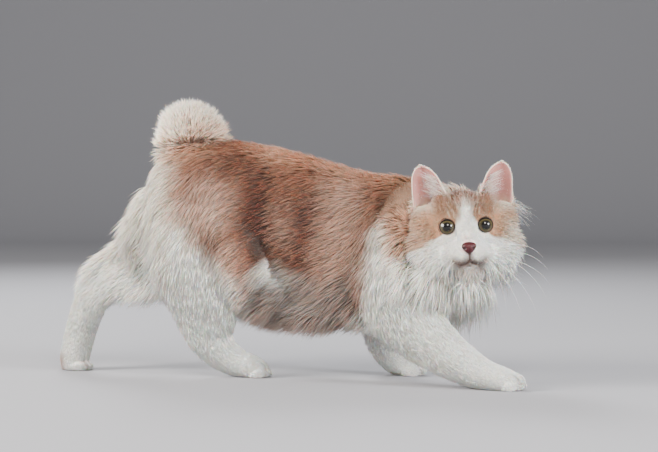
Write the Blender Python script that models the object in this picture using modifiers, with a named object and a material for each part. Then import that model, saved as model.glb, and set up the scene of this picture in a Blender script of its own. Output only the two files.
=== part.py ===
"""A kurilian bobtail cat in a long walking stride, looking to its right.

Metres, +Z up. The cat faces +X, its right side faces -Y, and it stands on z = 0.
The body is lofted whole, fused, given its locks, and then parted with thin cuts.
"""

import math

import bmesh
import bpy
import numpy as np
from mathutils import Matrix, Vector
from mathutils.bvhtree import BVHTree

# Driving dimensions
gap = 0.0003  # between nodes that touch
ring_sides = 20  # corners of a lofted section
body_voxel = 0.0042
head_voxel = 0.0016
body_faces = 2500  # triangles left in the body, before its locks
head_faces = 1600

# The torso runs from rump to chest: x, y, top, bottom, half width
torso_rows = [
    (-0.224, 0.000, 0.272, 0.205, 0.024),
    (-0.212, 0.000, 0.288, 0.165, 0.044),
    (-0.190, 0.000, 0.299, 0.135, 0.056),
    (-0.155, 0.002, 0.3045, 0.112, 0.063),
    (-0.120, 0.004, 0.3025, 0.096, 0.067),
    (-0.080, 0.006, 0.2965, 0.086, 0.071),
    (-0.030, 0.007, 0.2850, 0.078, 0.075),
    (0.020, 0.006, 0.2705, 0.072, 0.076),
    (0.068, 0.002, 0.2590, 0.067, 0.070),
    (0.108, -0.004, 0.2560, 0.073, 0.064),
    (0.142, -0.010, 0.2500, 0.090, 0.056),
    (0.168, -0.014, 0.2330, 0.112, 0.043),
    (0.182, -0.016, 0.2050, 0.135, 0.026),
]
# The neck turns to the right as it leaves the shoulders: x, y, z, half height, half width
neck_rows = [
    (0.085, -0.004, 0.180, 0.062, 0.058),
    (0.118, -0.008, 0.184, 0.062, 0.056),
    (0.148, -0.016, 0.189, 0.059, 0.052),
    (0.170, -0.030, 0.193, 0.053, 0.048),
    (0.181, -0.045, 0.195, 0.046, 0.044),
]
# Each limb runs from its root to its toes: x, y, z, half depth, half width
hind_right_rows = [
    (-0.150, -0.026, 0.235, 0.052, 0.030),
    (-0.151, -0.036, 0.195, 0.060, 0.038),
    (-0.150, -0.043, 0.150, 0.061, 0.038),
    (-0.148, -0.044, 0.112, 0.055, 0.033),
    (-0.146, -0.041, 0.080, 0.045, 0.026),
    (-0.142, -0.037, 0.055, 0.034, 0.021),
    (-0.128, -0.033, 0.035, 0.025, 0.019),
    (-0.109, -0.029, 0.022, 0.0195, 0.0195),
    (-0.093, -0.026, 0.017, 0.0165, 0.0215),
    (-0.080, -0.025, 0.014, 0.012, 0.017),
]
hind_left_rows = [
    (-0.165, 0.028, 0.228, 0.052, 0.030),
    (-0.192, 0.036, 0.190, 0.058, 0.038),
    (-0.226, 0.037, 0.158, 0.055, 0.037),
    (-0.262, 0.033, 0.139, 0.046, 0.030),
    (-0.294, 0.028, 0.126, 0.035, 0.024),
    (-0.317, 0.024, 0.105, 0.027, 0.021),
    (-0.330, 0.020, 0.076, 0.0235, 0.019),
    (-0.338, 0.016, 0.046, 0.022, 0.018),
    (-0.343, 0.013, 0.023, 0.021, 0.019),
    (-0.344, 0.011, 0.010, 0.018, 0.0185),
]
fore_right_rows = [
    (0.084, -0.034, 0.190, 0.048, 0.026),
    (0.091, -0.047, 0.145, 0.052, 0.031),
    (0.107, -0.060, 0.103, 0.048, 0.030),
    (0.134, -0.074, 0.072, 0.040, 0.027),
    (0.165, -0.087, 0.048, 0.032, 0.0245),
    (0.193, -0.096, 0.032, 0.026, 0.022),
    (0.218, -0.102, 0.021, 0.0205, 0.0215),
    (0.241, -0.105, 0.0155, 0.0165, 0.0225),
    (0.259, -0.106, 0.0125, 0.012, 0.017),
]
fore_left_rows = [
    (0.080, 0.030, 0.190, 0.044, 0.026),
    (0.073, 0.040, 0.135, 0.045, 0.029),
    (0.067, 0.044, 0.090, 0.036, 0.025),
    (0.066, 0.043, 0.052, 0.026, 0.020),
    (0.075, 0.041, 0.030, 0.0195, 0.0185),
    (0.090, 0.0395, 0.0175, 0.0165, 0.020),
    (0.107, 0.0385, 0.013, 0.012, 0.017),
]
# The bobbed tail kinks up and curls forward over the rump: x, y, z, half depth, half width
tail_rows = [
    (-0.192, 0.000, 0.270, 0.018, 0.019),
    (-0.197, 0.000, 0.296, 0.020, 0.022),
    (-0.191, 0.000, 0.314, 0.021, 0.024),
    (-0.177, 0.000, 0.321, 0.021, 0.025),
    (-0.162, 0.000, 0.319, 0.018, 0.022),
    (-0.152, 0.000, 0.312, 0.012, 0.016),
]
sole_level = 0.0032  # flesh lower than this is pressed flat
# Fullness under the long coat, about half way to its tips: ellipsoids like the head's below
coat_lumps = {
    "bib": ((0.164, -0.030, 0.150), (0.040, 0.042, 0.050)),
    "breeches": ((-0.214, 0.013, 0.222), (0.030, 0.036, 0.042)),
    "breeches_low": ((-0.237, 0.022, 0.188), (0.030, 0.031, 0.034)),
    "thigh_fringe": ((-0.244, 0.031, 0.114), (0.034, 0.020, 0.028)),
    "belly": ((-0.020, 0.003, 0.092), (0.086, 0.045, 0.024)),
}
ruff_lumps = {"ruff": ((-0.052, 0.036, -0.029), (0.031, 0.034, 0.038))}
# The long coat's locks. Each group: how many, the ellipsoid its roots lie in (middle and
# half sizes), the way its hair runs, how much it spreads from the ellipsoid's middle,
# the least dot of the surface's normal with the next vector, length, half width, lift in
# degrees and how far the tips fall. Places and ways of the head's groups are in its frame
body_locks = {
    "pompom": (32, (-0.178, 0.000, 0.326), (0.050, 0.046, 0.034), (0.0, 0.0, 0.25), 1.0,
               -0.9, (0, 0, 1), 0.028, 0.0110, 50, 0.10),
    "breeches": (24, (-0.238, 0.014, 0.208), (0.044, 0.060, 0.072), (-0.60, 0.0, -0.75), 0.25,
                 0.10, (-1.0, 0.0, -0.15), 0.033, 0.0105, 22, 0.25),
    "thigh_back": (7, (-0.196, -0.045, 0.120), (0.030, 0.045, 0.055), (-0.50, 0.0, -0.85), 0.1,
                   0.30, (-1, 0, 0), 0.023, 0.0085, 20, 0.2),
    "thigh_under": (10, (-0.246, 0.030, 0.102), (0.052, 0.034, 0.030), (-0.40, 0.0, -0.90), 0.2,
                    0.25, (0, 0, -1), 0.026, 0.0090, 38, 0.3),
    "belly": (22, (-0.020, 0.004, 0.080), (0.092, 0.050, 0.028), (-0.55, 0.0, -0.60), 0.15,
              0.45, (0, 0, -1), 0.027, 0.0105, 34, 0.3),
    "bib": (24, (0.176, -0.028, 0.142), (0.046, 0.055, 0.062), (0.25, -0.05, -0.95), 0.25,
            0.15, (0.85, -0.25, -0.40), 0.034, 0.0105, 22, 0.25),
    "fore_right_back": (6, (0.098, -0.055, 0.066), (0.040, 0.035, 0.034), (-0.10, 0.0, -1.0), 0.1,
                        0.30, (-0.6, 0.0, -0.8), 0.018, 0.0075, 24, 0.2),
    "fore_left_back": (5, (0.045, 0.044, 0.085), (0.024, 0.030, 0.032), (-0.30, 0.0, -1.0), 0.1,
                       0.30, (-1, 0, 0), 0.017, 0.0075, 20, 0.2),
}
head_locks = {
    "ruff": (15, (-0.052, 0.056, -0.034), (0.036, 0.040, 0.046), (-0.30, 0.60, -0.50), 0.5,
             0.10, (-0.2, 0.8, -0.5), 0.027, 0.0100, 22, 0.15),
    "cheek": (4, (-0.030, 0.064, -0.020), (0.026, 0.022, 0.034), (-0.85, 0.45, -0.45), 0.1,
              0.20, (0.0, 0.9, -0.2), 0.020, 0.0085, 14, 0.1),
    "throat": (5, (-0.024, 0.016, -0.066), (0.030, 0.026, 0.020), (-0.30, 0.20, -0.90), 0.2,
               0.20, (0, 0, -1), 0.024, 0.0090, 26, 0.1),
}
lock_sunk = 0.005  # how deep a lock is rooted
# Tufts across the ear's mouth from its inner edge: how many, rise, the lowest and highest, length
ear_tufts = (4, 0.12, 0.46, 0.026)
# Toes: the middle of the foot's front, the way it points, and its spread
toe_length, toe_width, toe_height = 0.0125, 0.0072, 0.0085
feet = {
    "fore_right": ((0.252, -0.106, 0.0095), -14.0, 0.034),
    "fore_left": ((0.104, 0.0385, 0.0095), -3.0, 0.033),
    "hind_right": ((-0.084, -0.025, 0.0095), 4.0, 0.033),
    "hind_left": ((-0.337, 0.011, 0.0085), 3.0, 0.031),
}

# The head's own frame: x out of the face, y to its left, z up, from the midpoint of the eyes
head_place = (0.197, -0.100, 0.1995)
head_turn, head_pitch, head_roll = -76.5, 1.6, 3.0
eye_radius, eye_opening = 0.0117, 0.0104
eye_middle, eye_outward = (-0.0090, 0.0222, 0.0), 7.0
# Ellipsoids of the head: middle and half sizes, mirrored where y isn't 0
head_lumps = {
    "cranium": ((-0.047, 0.0, 0.003), (0.044, 0.050, 0.040)),
    "forehead": ((-0.026, 0.0, 0.006), (0.030, 0.040, 0.031)),
    "face": ((-0.028, 0.0, -0.012), (0.030, 0.053, 0.036)),
    "cheek": ((-0.040, 0.036, -0.024), (0.036, 0.036, 0.036)),
    "jaw": ((-0.024, 0.0, -0.040), (0.036, 0.052, 0.026)),
    "snout": ((0.000, 0.0, -0.034), (0.0270, 0.0320, 0.0205)),
}
# Fused to it after the large forms are smooth
face_lumps = {
    "whisker_pad": ((0.0115, 0.0115, -0.0345), (0.0165, 0.0155, 0.0115)),
    "chin": ((0.0085, 0.0, -0.0490), (0.0140, 0.0145, 0.0090)),
}
# The bridge of the nose in the head's frame: x, y, z, half depth, half width
bridge_rows = [
    (-0.018, 0.0, 0.020, 0.0120, 0.0180),
    (-0.006, 0.0, 0.007, 0.0130, 0.0150),
    (0.005, 0.0, -0.007, 0.0130, 0.0125),
    (0.013, 0.0, -0.019, 0.0110, 0.0115),
    (0.018, 0.0, -0.027, 0.0090, 0.0110),
]
lid_thickness = 0.0017
# The nose leather: its middle, half sizes, how far it narrows downwards, and its nostrils
nose_middle, nose_sizes, nose_narrowing = (0.0236, 0.0, -0.0252), (0.0058, 0.0082, 0.0066), 0.55
nostril_middle, nostril_sizes = (0.0285, 0.0041, -0.0257), (0.0030, 0.0021, 0.0012)
# The mouth's line in the head's frame, half of it, from under the nose: y and z
mouth_line = [(0.0, -0.0310), (0.0, -0.0400), (0.0060, -0.0428), (0.0120, -0.0420), (0.0190, -0.0385)]
mouth_groove = 0.0008
# The ear in the head's frame, its right twin mirrored
ear_base, ear_tip = (-0.031, 0.0405, 0.0240), (-0.030, 0.0490, 0.0750)
ear_half_base, ear_half_top = (-0.0060, 0.0215, -0.0120), (-0.0020, 0.0215, 0.0)
ear_sunk, ear_bulge, ear_thick = -0.25, 0.0170, 0.0026


# Discs that part one node from another: the node cut, the one parted from it,
# the disc's middle, the way it faces and its radius
disc_cuts = [
    ("torso", "neck", (0.138, -0.010, 0.185), (0.85, -0.10, 0.52), 0.120),
    ("torso", "tail", (-0.180, 0.000, 0.3052), (0.0, 0.0, 1.0), 0.072),
    ("fore_right_upper", "fore_right_lower", (0.148, -0.080, 0.061), (0.76, -0.28, -0.58), 0.056),
    ("fore_right_lower", "fore_right_paw", (0.208, -0.099, 0.026), (0.91, -0.18, -0.38), 0.036),
    ("fore_left_upper", "fore_left_lower", (0.066, 0.043, 0.057), (0.10, 0.00, -1.00), 0.036),
    ("fore_left_lower", "fore_left_paw", (0.073, 0.0415, 0.034), (0.45, -0.10, -0.90), 0.031),
    ("hind_right_thigh", "hind_right_shank", (-0.145, -0.040, 0.077), (0.10, 0.05, -1.00), 0.062),
    ("hind_right_shank", "hind_right_paw", (-0.127, -0.033, 0.035), (0.80, 0.20, -0.60), 0.036),
    ("hind_left_thigh", "hind_left_shank", (-0.285, 0.029, 0.130), (-0.95, -0.12, -0.32), 0.060),
    ("hind_left_shank", "hind_left_foot", (-0.327, 0.021, 0.086), (-0.30, -0.10, -0.95), 0.036),
    ("hind_left_foot", "hind_left_paw", (-0.341, 0.0145, 0.033), (-0.15, -0.06, -1.00), 0.033),
]
# Hoods round the root of each limb, which part it from the torso: middle of the dome, the way its skirt runs,
# half depth, half width, height of the dome, length of the skirt
hood_cuts = {
    "fore_right_upper": ((0.098, -0.062, 0.135), (0.33, -0.20, -0.92), 0.060, 0.046, 0.060, 0.062),
    "fore_left_upper": ((0.072, 0.055, 0.135), (-0.06, 0.06, -1.0), 0.055, 0.046, 0.055, 0.078),
    "hind_right_thigh": ((-0.148, -0.060, 0.160), (0.0, 0.02, -1.0), 0.071, 0.055, 0.070, 0.080),
    "hind_left_thigh": ((-0.200, 0.045, 0.185), (-0.735, 0.038, -0.674), 0.068, 0.055, 0.060, 0.088),
}
# The bowl behind the head, turned about the head's own x: x and radius
bowl_rows = [
    (-0.0890, 0.000), (-0.0860, 0.022), (-0.0780, 0.044), (-0.0660, 0.062),
    (-0.0520, 0.0740), (-0.0380, 0.0795), (-0.0200, 0.0820),
]
# The ear's cut in the head's frame, mirrored: middle, the way it faces, radius
ear_cut = ((-0.034, 0.0435, 0.0320), (0.0, 0.58, 0.81), 0.036)

coat_white = (0.83, 0.80, 0.76, 1.0)
coat_red = (0.50, 0.29, 0.18, 1.0)
coat_cream = (0.74, 0.58, 0.46, 1.0)
nose_pink = (0.55, 0.22, 0.18, 1.0)
eye_olive = (0.10, 0.09, 0.03, 1.0)
# Each node: a point in or on it, whether in the head's frame, and its finish
nodes = {
    "torso": ((0.000, 0.005, 0.180), False, "coat_red"),
    "neck": ((0.155, -0.015, 0.215), False, "coat_cream"),
    "head": ((-0.040, 0.0, 0.000), True, "coat_cream"),
    "ear_left": ((-0.044, 0.046, 0.050), True, "coat_cream"),
    "ear_right": ((-0.044, -0.046, 0.050), True, "coat_cream"),
    "tail": ((-0.178, 0.000, 0.325), False, "coat_cream"),
    "fore_right_upper": ((0.107, -0.066, 0.103), False, "coat_white"),
    "fore_right_lower": ((0.170, -0.088, 0.046), False, "coat_white"),
    "fore_right_paw": ((0.240, -0.105, 0.016), False, "coat_white"),
    "fore_left_upper": ((0.067, 0.048, 0.090), False, "coat_white"),
    "fore_left_lower": ((0.068, 0.043, 0.046), False, "coat_white"),
    "fore_left_paw": ((0.090, 0.0395, 0.016), False, "coat_white"),
    "hind_right_thigh": ((-0.150, -0.055, 0.140), False, "coat_white"),
    "hind_right_shank": ((-0.143, -0.038, 0.058), False, "coat_white"),
    "hind_right_paw": ((-0.100, -0.027, 0.018), False, "coat_white"),
    "hind_left_thigh": ((-0.235, 0.040, 0.150), False, "coat_white"),
    "hind_left_shank": ((-0.310, 0.025, 0.110), False, "coat_white"),
    "hind_left_foot": ((-0.336, 0.017, 0.055), False, "coat_white"),
    "hind_left_paw": ((-0.343, 0.012, 0.015), False, "coat_white"),
}


def normalised(v):
    """Each row of v at length 1."""
    return v / np.linalg.norm(v, axis=-1, keepdims=True)


def through(rows, steps):
    """Rows on a smooth curve (Catmull-Rom) through the given rows, steps to each span."""
    p = np.array(rows, float)
    p = np.vstack([2 * p[0] - p[1], p, 2 * p[-1] - p[-2]])
    t = np.linspace(0, 1, steps, endpoint=False)[:, None]
    spans = []
    for a, b, c, d in zip(p, p[1:], p[2:], p[3:]):
        spans.append(0.5 * (2 * b + (c - a) * t + (2 * a - 5 * b + 4 * c - d) * t**2
                            + (3 * b - a - 3 * c + d) * t**3))
    return np.vstack([*spans, p[-2]])


def mesh_object(name, points, faces):
    """A linked object from points and faces."""
    mesh = bpy.data.meshes.new(name)
    mesh.from_pydata([tuple(v) for v in points], [], faces)
    made = bpy.data.objects.new(name, mesh)
    bpy.context.scene.collection.objects.link(made)
    return made


def loft(name, middles, across, up, half_across, half_up, sides=ring_sides):
    """A closed tube of elliptical sections, with a rounded cap at each end."""
    turn = np.linspace(0, 2 * math.pi, sides, endpoint=False)
    along = normalised(np.gradient(middles, axis=0))
    rings = []
    for end, sign in ((0, -1), (-1, 1)):
        reach = min(half_across[end], half_up[end]) * 0.9
        caps = [(middles[end] + sign * along[end] * reach * math.sin(b), math.cos(b))
                for b in (math.radians(35), math.radians(65))]
        rings.append([(c, k, end) for c, k in caps])
    rows = [(c, k, e) for c, k, e in reversed(rings[0])]
    rows += [(middles[i], 1.0, i) for i in range(len(middles))]
    rows += rings[1]
    points = []
    for middle, share, i in rows:
        spread = np.outer(np.cos(turn) * half_up[i] * share, up[i])
        spread += np.outer(np.sin(turn) * half_across[i] * share, across[i])
        points.extend(middle + spread)
    faces = []
    for r in range(len(rows) - 1):
        for k in range(sides):
            n = (k + 1) % sides
            faces.append((r * sides + k, r * sides + n, (r + 1) * sides + n, (r + 1) * sides + k))
    faces.append(tuple(range(sides)))
    faces.append(tuple(range(len(points) - 1, len(points) - 1 - sides, -1)))
    made = mesh_object(name, points, faces)
    face_out(made)
    return made


def face_out(made):
    """Turns the faces of a closed mesh outwards."""
    work = bmesh.new()
    work.from_mesh(made.data)
    bmesh.ops.recalc_face_normals(work, faces=work.faces)
    work.to_mesh(made.data)
    work.free()


def torso_form():
    """The trunk, from rows that give its top and bottom."""
    rows = through(torso_rows, 4)
    middles = np.column_stack([rows[:, 0], rows[:, 1], (rows[:, 2] + rows[:, 3]) / 2])
    count = len(rows)
    across = np.tile([0.0, 1.0, 0.0], (count, 1))
    up = np.tile([0.0, 0.0, 1.0], (count, 1))
    return loft("trunk", middles, across, up, rows[:, 4], (rows[:, 2] - rows[:, 3]) / 2)


def limb_form(name, rows):
    """A limb, whose sections stand square to its path and keep level across."""
    rows = through(rows, 4)
    middles = rows[:, :3]
    along = normalised(np.gradient(middles, axis=0))
    level = np.tile([0.0, 1.0, 0.0], (len(rows), 1))
    across = normalised(level - along * (along * level).sum(1, keepdims=True))
    up = np.cross(along, across)
    return loft(name, middles, across, up, rows[:, 4], rows[:, 3])


def ellipsoid(name, middle, sizes, matrix=None, segments=24):
    """A stretched sphere, its place and size in its mesh."""
    work = bmesh.new()
    bmesh.ops.create_uvsphere(work, u_segments=segments, v_segments=segments // 2, radius=1.0)
    place = Matrix.Translation(middle) @ Matrix.Diagonal((*sizes, 1.0))
    bmesh.ops.transform(work, matrix=(matrix or Matrix()) @ place, verts=work.verts)
    mesh = bpy.data.meshes.new(name)
    work.to_mesh(mesh)
    work.free()
    made = bpy.data.objects.new(name, mesh)
    bpy.context.scene.collection.objects.link(made)
    return made


def toe_forms():
    """Four toes across the front of each foot."""
    made = []
    for foot, (middle, turn, spread) in feet.items():
        facing = Matrix.Translation(middle) @ Matrix.Rotation(math.radians(turn), 4, "Z")
        for place, forward in zip((-0.5, -0.17, 0.17, 0.5), (0.0, 0.0055, 0.0055, 0.0)):
            at = (forward, place * (spread - toe_width), 0.0)
            made.append(ellipsoid(foot + "_toe", at, (toe_length, toe_width, toe_height), facing))
    return made


def head_matrix():
    """Carries the head's frame into the cat's."""
    turn = Matrix.Rotation(math.radians(head_turn), 4, "Z")
    pitch = Matrix.Rotation(math.radians(-head_pitch), 4, "Y")
    roll = Matrix.Rotation(math.radians(head_roll), 4, "X")
    return Matrix.Translation(head_place) @ turn @ pitch @ roll


def mirrored(middle):
    """A place in the head's frame, and its twin on the other side."""
    x, y, z = middle
    return [(x, y, z)] if y == 0 else [(x, y, z), (x, -y, z)]


def gaze(side):
    """Carries an eye's own frame, x out of the pupil, into the cat's."""
    x, y, z = eye_middle
    turned = Matrix.Rotation(math.radians(side * eye_outward), 4, "Z")
    return head_matrix() @ Matrix.Translation((x, side * y, z)) @ turned


def ring_form(name, matrix, along, large, small):
    """A torus square to x, that far along it."""
    bpy.ops.mesh.primitive_torus_add(
        major_radius=large, minor_radius=small, major_segments=32, minor_segments=10)
    made = bpy.context.active_object
    made.name = name
    made.data.transform(Matrix.Translation((along, 0, 0)) @ Matrix.Rotation(math.pi / 2, 4, "Y"))
    made.data.transform(matrix)
    made.matrix_world = Matrix()
    return made


def lump_forms(lumps):
    """The ellipsoids of the head, each with its twin."""
    made = []
    for name, (middle, sizes) in lumps.items():
        for place in mirrored(middle):
            made.append(ellipsoid(name, place, sizes, head_matrix()))
    return made


def face_forms():
    """The muzzle, the bridge of the nose and the lids."""
    made = lump_forms(face_lumps)
    bridge = limb_form("bridge", bridge_rows)
    bridge.data.transform(head_matrix())
    lid_place = math.sqrt(eye_radius**2 - eye_opening**2)
    for side in (1, -1):
        made.append(ring_form("lid", gaze(side), lid_place - 0.0006, eye_opening + lid_thickness,
                              lid_thickness * 1.3))
    return [*made, bridge]


def ear_taper(up):
    """How wide the ear still is that far up it, with a round tip."""
    return (1 - 0.5 * up**1.3) * np.sqrt(np.clip(1 - ((up.clip(0.62) - 0.62) / 0.381) ** 2, 0.0004, 1))


def ear_form(side):
    """The cup of an ear, a bowed sheet with a round tip, its foot sunk in the head."""
    across = np.linspace(-1, 1, 9)[None, :, None]
    rise = np.linspace(0, 1, 10)[:, None, None]
    rise = ear_sunk + (1 - ear_sunk) * np.sin(rise * math.pi / 2) ** 0.9
    base, tip = np.array(ear_base), np.array(ear_tip)
    up = rise.clip(0, 1)
    half = np.array(ear_half_base) * (1 - up) + np.array(ear_half_top) * up
    narrow = ear_taper(up)
    points = base + (tip - base) * rise + half * narrow * across
    hollow = ear_bulge * (1 - up) ** 0.6 * (1 - across**2)
    points = points - hollow * np.array([1.0, 0.25, 0.0])
    points = points * np.array([1.0, side, 1.0])
    rows, columns = points.shape[:2]
    faces = []
    for r in range(rows - 1):
        for c in range(columns - 1):
            k = r * columns + c
            faces.append((k, k + 1, k + columns + 1, k + columns))
    made = mesh_object("ear_form", points.reshape(-1, 3), faces)
    made.data.transform(head_matrix())
    wall = made.modifiers.new("wall", "SOLIDIFY")
    wall.thickness = ear_thick
    wall.offset = 0.0
    settle(made)
    face_out(made)
    return made


def nose_form(grown=0.0):
    """The nose leather, wide at the top and narrow where the lip parts."""
    sizes = tuple(size + grown for size in nose_sizes)
    made = ellipsoid("nose_form", (0, 0, 0), sizes, segments=10)
    for vertex in made.data.vertices:
        level = vertex.co.z / sizes[2]
        vertex.co.y *= 1 + nose_narrowing * (level - 0.35) * 0.6
    made.data.transform(head_matrix() @ Matrix.Translation(nose_middle))
    return made


def mouth_forms(face):
    """The tubes that groove the lips, laid on the face they will cut."""
    tree = BVHTree.FromObject(face, bpy.context.evaluated_depsgraph_get())
    made = []
    place = head_matrix()
    into = place.to_3x3() @ Vector((-1, 0, 0))
    for side in (1, -1):
        rows = []
        for y, z in through([(y, z, 0.0) for y, z in mouth_line], 2)[:, :2]:
            start = place @ Vector((0.06, side * y, z))
            hit = tree.ray_cast(start, into)[0]
            if hit is not None:
                rows.append(tuple(hit))
        middles = np.array(rows)
        along = normalised(np.gradient(middles, axis=0))
        out = np.tile(-np.array(into), (len(rows), 1))
        across = normalised(np.cross(along, out))
        round_it = np.full(len(rows), mouth_groove)
        made.append(loft("lip", middles, across, np.cross(along, across), round_it, round_it, 6))
    return made


def upright(middle, facing):
    """Carries a frame whose z faces that way, its y kept near the cat's y, to a place."""
    z = Vector(facing).normalized()
    y = (Vector((0, 1, 0)) - z * z.y).normalized() if abs(z.y) < 0.9 else Vector((0, 0, 1))
    x = y.cross(z).normalized()
    turn = Matrix((x, z.cross(x), z)).transposed().to_4x4()
    return Matrix.Translation(middle) @ turn


def sheet(name, rings, matrix):
    """A cutter as thick as the gap, from rings of points round z, the first a single point."""
    count = len(rings[1])
    points = [rings[0][0]] + [p for ring in rings[1:] for p in ring]
    faces = [(0, 1 + k, 1 + (k + 1) % count) for k in range(count)]
    for r in range(len(rings) - 2):
        for k in range(count):
            a, b = 1 + r * count + k, 1 + r * count + (k + 1) % count
            faces.append((a, a + count, b + count, b))
    made = mesh_object(name, points, faces)
    made.data.transform(matrix)
    wall = made.modifiers.new("wall", "SOLIDIFY")
    wall.thickness = gap
    wall.offset = 0.0
    settle(made)
    face_out(made)
    return made


def disc(name, middle, facing, radius, sides=12):
    """A flat cut."""
    turn = np.linspace(0, 2 * math.pi, sides, endpoint=False)
    ring = np.column_stack([np.cos(turn), np.sin(turn), turn * 0]) * radius
    return sheet(name, [[(0, 0, 0)], ring], upright(middle, facing))


def hood(name, middle, facing, depth, width, height, skirt, sides=16):
    """A dome over the root of a limb, whose skirt runs down round it."""
    turn = np.linspace(0, 2 * math.pi, sides, endpoint=False)
    rings = [[(0, 0, -height)]]
    for share in (0.35, 0.65, 0.88):
        level = -height * math.sqrt(1 - share**2)
        rings.append([(depth * share * math.cos(t), width * share * math.sin(t), level) for t in turn])
    for level in (0.0, skirt):
        rings.append([(depth * math.cos(t), width * math.sin(t), level) for t in turn])
    return sheet(name, rings, upright(middle, facing))


def bowl(sides=20):
    """The cut behind the head."""
    turn = np.linspace(0, 2 * math.pi, sides, endpoint=False)
    rings = [[(0, 0, bowl_rows[0][0])]]
    for x, radius in bowl_rows[1:]:
        rings.append([(radius * math.cos(t), radius * math.sin(t), x) for t in turn])
    return sheet("bowl", rings, head_matrix() @ Matrix.Rotation(math.pi / 2, 4, "Y"))


def ear_disc(side):
    """The cut at the foot of an ear."""
    (x, y, z), (a, b, c), radius = ear_cut
    place = head_matrix() @ Vector((x, side * y, z))
    return disc("ear_cut", place, head_matrix().to_3x3() @ Vector((a, side * b, c)), radius)


def floor_block():
    """A block whose top is the ground that the soles are pressed flat on."""
    bpy.ops.mesh.primitive_cube_add(size=1.0)
    made = bpy.context.active_object
    made.data.transform(Matrix.Translation((0, 0, sole_level - 0.5)) @ Matrix.Diagonal((2, 2, 1, 1)))
    return made


def boolean(target, operation, others, solver="MANIFOLD"):
    """Joins closed meshes to the target, or cuts them from it, all in one go."""
    tools = bpy.data.collections.new("tools")
    for other in others:
        tools.objects.link(other)
    step = target.modifiers.new("step", "BOOLEAN")
    step.operation = operation
    step.operand_type = "COLLECTION"
    step.collection = tools
    step.solver = solver
    settle(target)
    for other in others:
        bpy.data.objects.remove(other)
    bpy.data.collections.remove(tools)
    return target


def shells(made):
    """The separate closed surfaces of an object as (volume, mesh), the largest first."""
    work = bmesh.new()
    work.from_mesh(made.data)
    bmesh.ops.triangulate(work, faces=work.faces)
    work.faces.index_update()
    unseen, found = set(work.faces), []
    while unseen:
        group, edge = [], [unseen.pop()]
        while edge:
            face = edge.pop()
            group.append(face)
            for side in face.edges:
                for near in side.link_faces:
                    if near in unseen:
                        unseen.discard(near)
                        edge.append(near)
        found.append(group)
    result = []
    for group in found:
        index, points, faces = {}, [], []
        for face in group:
            corners = []
            for vertex in face.verts:
                if vertex.index not in index:
                    index[vertex.index] = len(points)
                    points.append(tuple(vertex.co))
                corners.append(index[vertex.index])
            faces.append(tuple(corners))
        p = np.array(points)[np.array(faces)]
        volume = float((p[:, 0] * np.cross(p[:, 1], p[:, 2])).sum() / 6)
        result.append((volume, points, faces))
    work.free()
    return sorted(result, key=lambda row: -row[0])


def distance_to(tree, place):
    """How far a point lies outside a closed surface, 0 inside it."""
    crossings, start = 0, place.copy()
    way = Vector((0.31, 0.17, 0.93)).normalized()
    while True:
        hit = tree.ray_cast(start, way)[0]
        if hit is None:
            break
        crossings += 1
        start = hit + way * 1e-6
    return 0.0 if crossings % 2 else tree.find_nearest(place)[3]


def own_place(name):
    """The node's own point."""
    place, in_head, _ = nodes[name]
    return head_matrix() @ Vector(place) if in_head else Vector(place)


def part_off(pieces, parent, child, cutter):
    """Cuts the parent and gives the child the shell at its own point; scraps are dropped."""
    boolean(pieces[parent], "DIFFERENCE", [cutter])
    rows = shells(pieces[parent])
    trees = [BVHTree.FromPolygons(points, faces) for _, points, faces in rows]
    bpy.data.objects.remove(pieces[parent])
    if len(rows) < 2:
        raise RuntimeError(child + " isn't parted from " + parent)
    taken = []
    for name in (child, parent):
        away = [(distance_to(tree, own_place(name)), k) for k, tree in enumerate(trees)
                if k not in taken]
        near, k = min(away)
        if near > 0.012:
            print("no flesh near", name, round(near, 4))
        taken.append(k)
        pieces[name] = mesh_object(name, rows[k][1], rows[k][2])
        pieces[name].name = name
    for k, (volume, points, _) in enumerate(rows):
        if k not in taken and volume > 1e-8:
            print(parent, "drops cm3", round(volume * 1e6, 3), "at", np.mean(points, axis=0).round(3))


def all_cuts(further=1.0):
    """Every cut in order: the node cut, the one parted from it, and the cutter.

    A larger value of further widens the discs and lengthens the hoods' skirts.
    """
    made = [("torso", "ear_left", ear_disc(1)), ("torso", "ear_right", ear_disc(-1)),
            ("torso", "head", bowl())]
    for parent, child, middle, facing, radius in disc_cuts:
        made.append((parent, child, disc("cut", middle, facing, radius * further)))
    for child, (middle, way, depth, width, height, skirt) in hood_cuts.items():
        made.append(("torso", child, hood("cut", middle, way, depth, width, height, skirt * further)))
    first = ("ear_left", "ear_right", "head", "neck", "tail", *hood_cuts)
    return sorted(made, key=lambda row: first.index(row[1]) if row[1] in first else len(first))


def fence_trees():
    """Surfaces a little larger than the cuts, which no lock may cross."""
    cuts = [cutter for _, _, cutter in all_cuts(1.45)]
    graph = bpy.context.evaluated_depsgraph_get()
    trees = [BVHTree.FromObject(cutter, graph) for cutter in cuts]
    for cutter in cuts:
        bpy.data.objects.remove(cutter)
    return trees


def surface_points(made, number, rng):
    """Random points on a surface with their normals, even by area."""
    mesh = made.data
    mesh.calc_loop_triangles()
    corners = np.empty(len(mesh.vertices) * 3)
    mesh.vertices.foreach_get("co", corners)
    index = np.empty(len(mesh.loop_triangles) * 3, int)
    mesh.loop_triangles.foreach_get("vertices", index)
    p = corners.reshape(-1, 3)[index.reshape(-1, 3)]
    across = np.cross(p[:, 1] - p[:, 0], p[:, 2] - p[:, 0])
    area = np.linalg.norm(across, axis=1)
    pick = rng.choice(len(p), number, p=area / area.sum())
    u, v = rng.random((2, number, 1))
    turned = u + v > 1
    u, v = np.where(turned, 1 - u, u), np.where(turned, 1 - v, v)
    points = p[pick, 0] * (1 - u - v) + p[pick, 1] * u + p[pick, 2] * v
    return points, normalised(across[pick])


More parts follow.
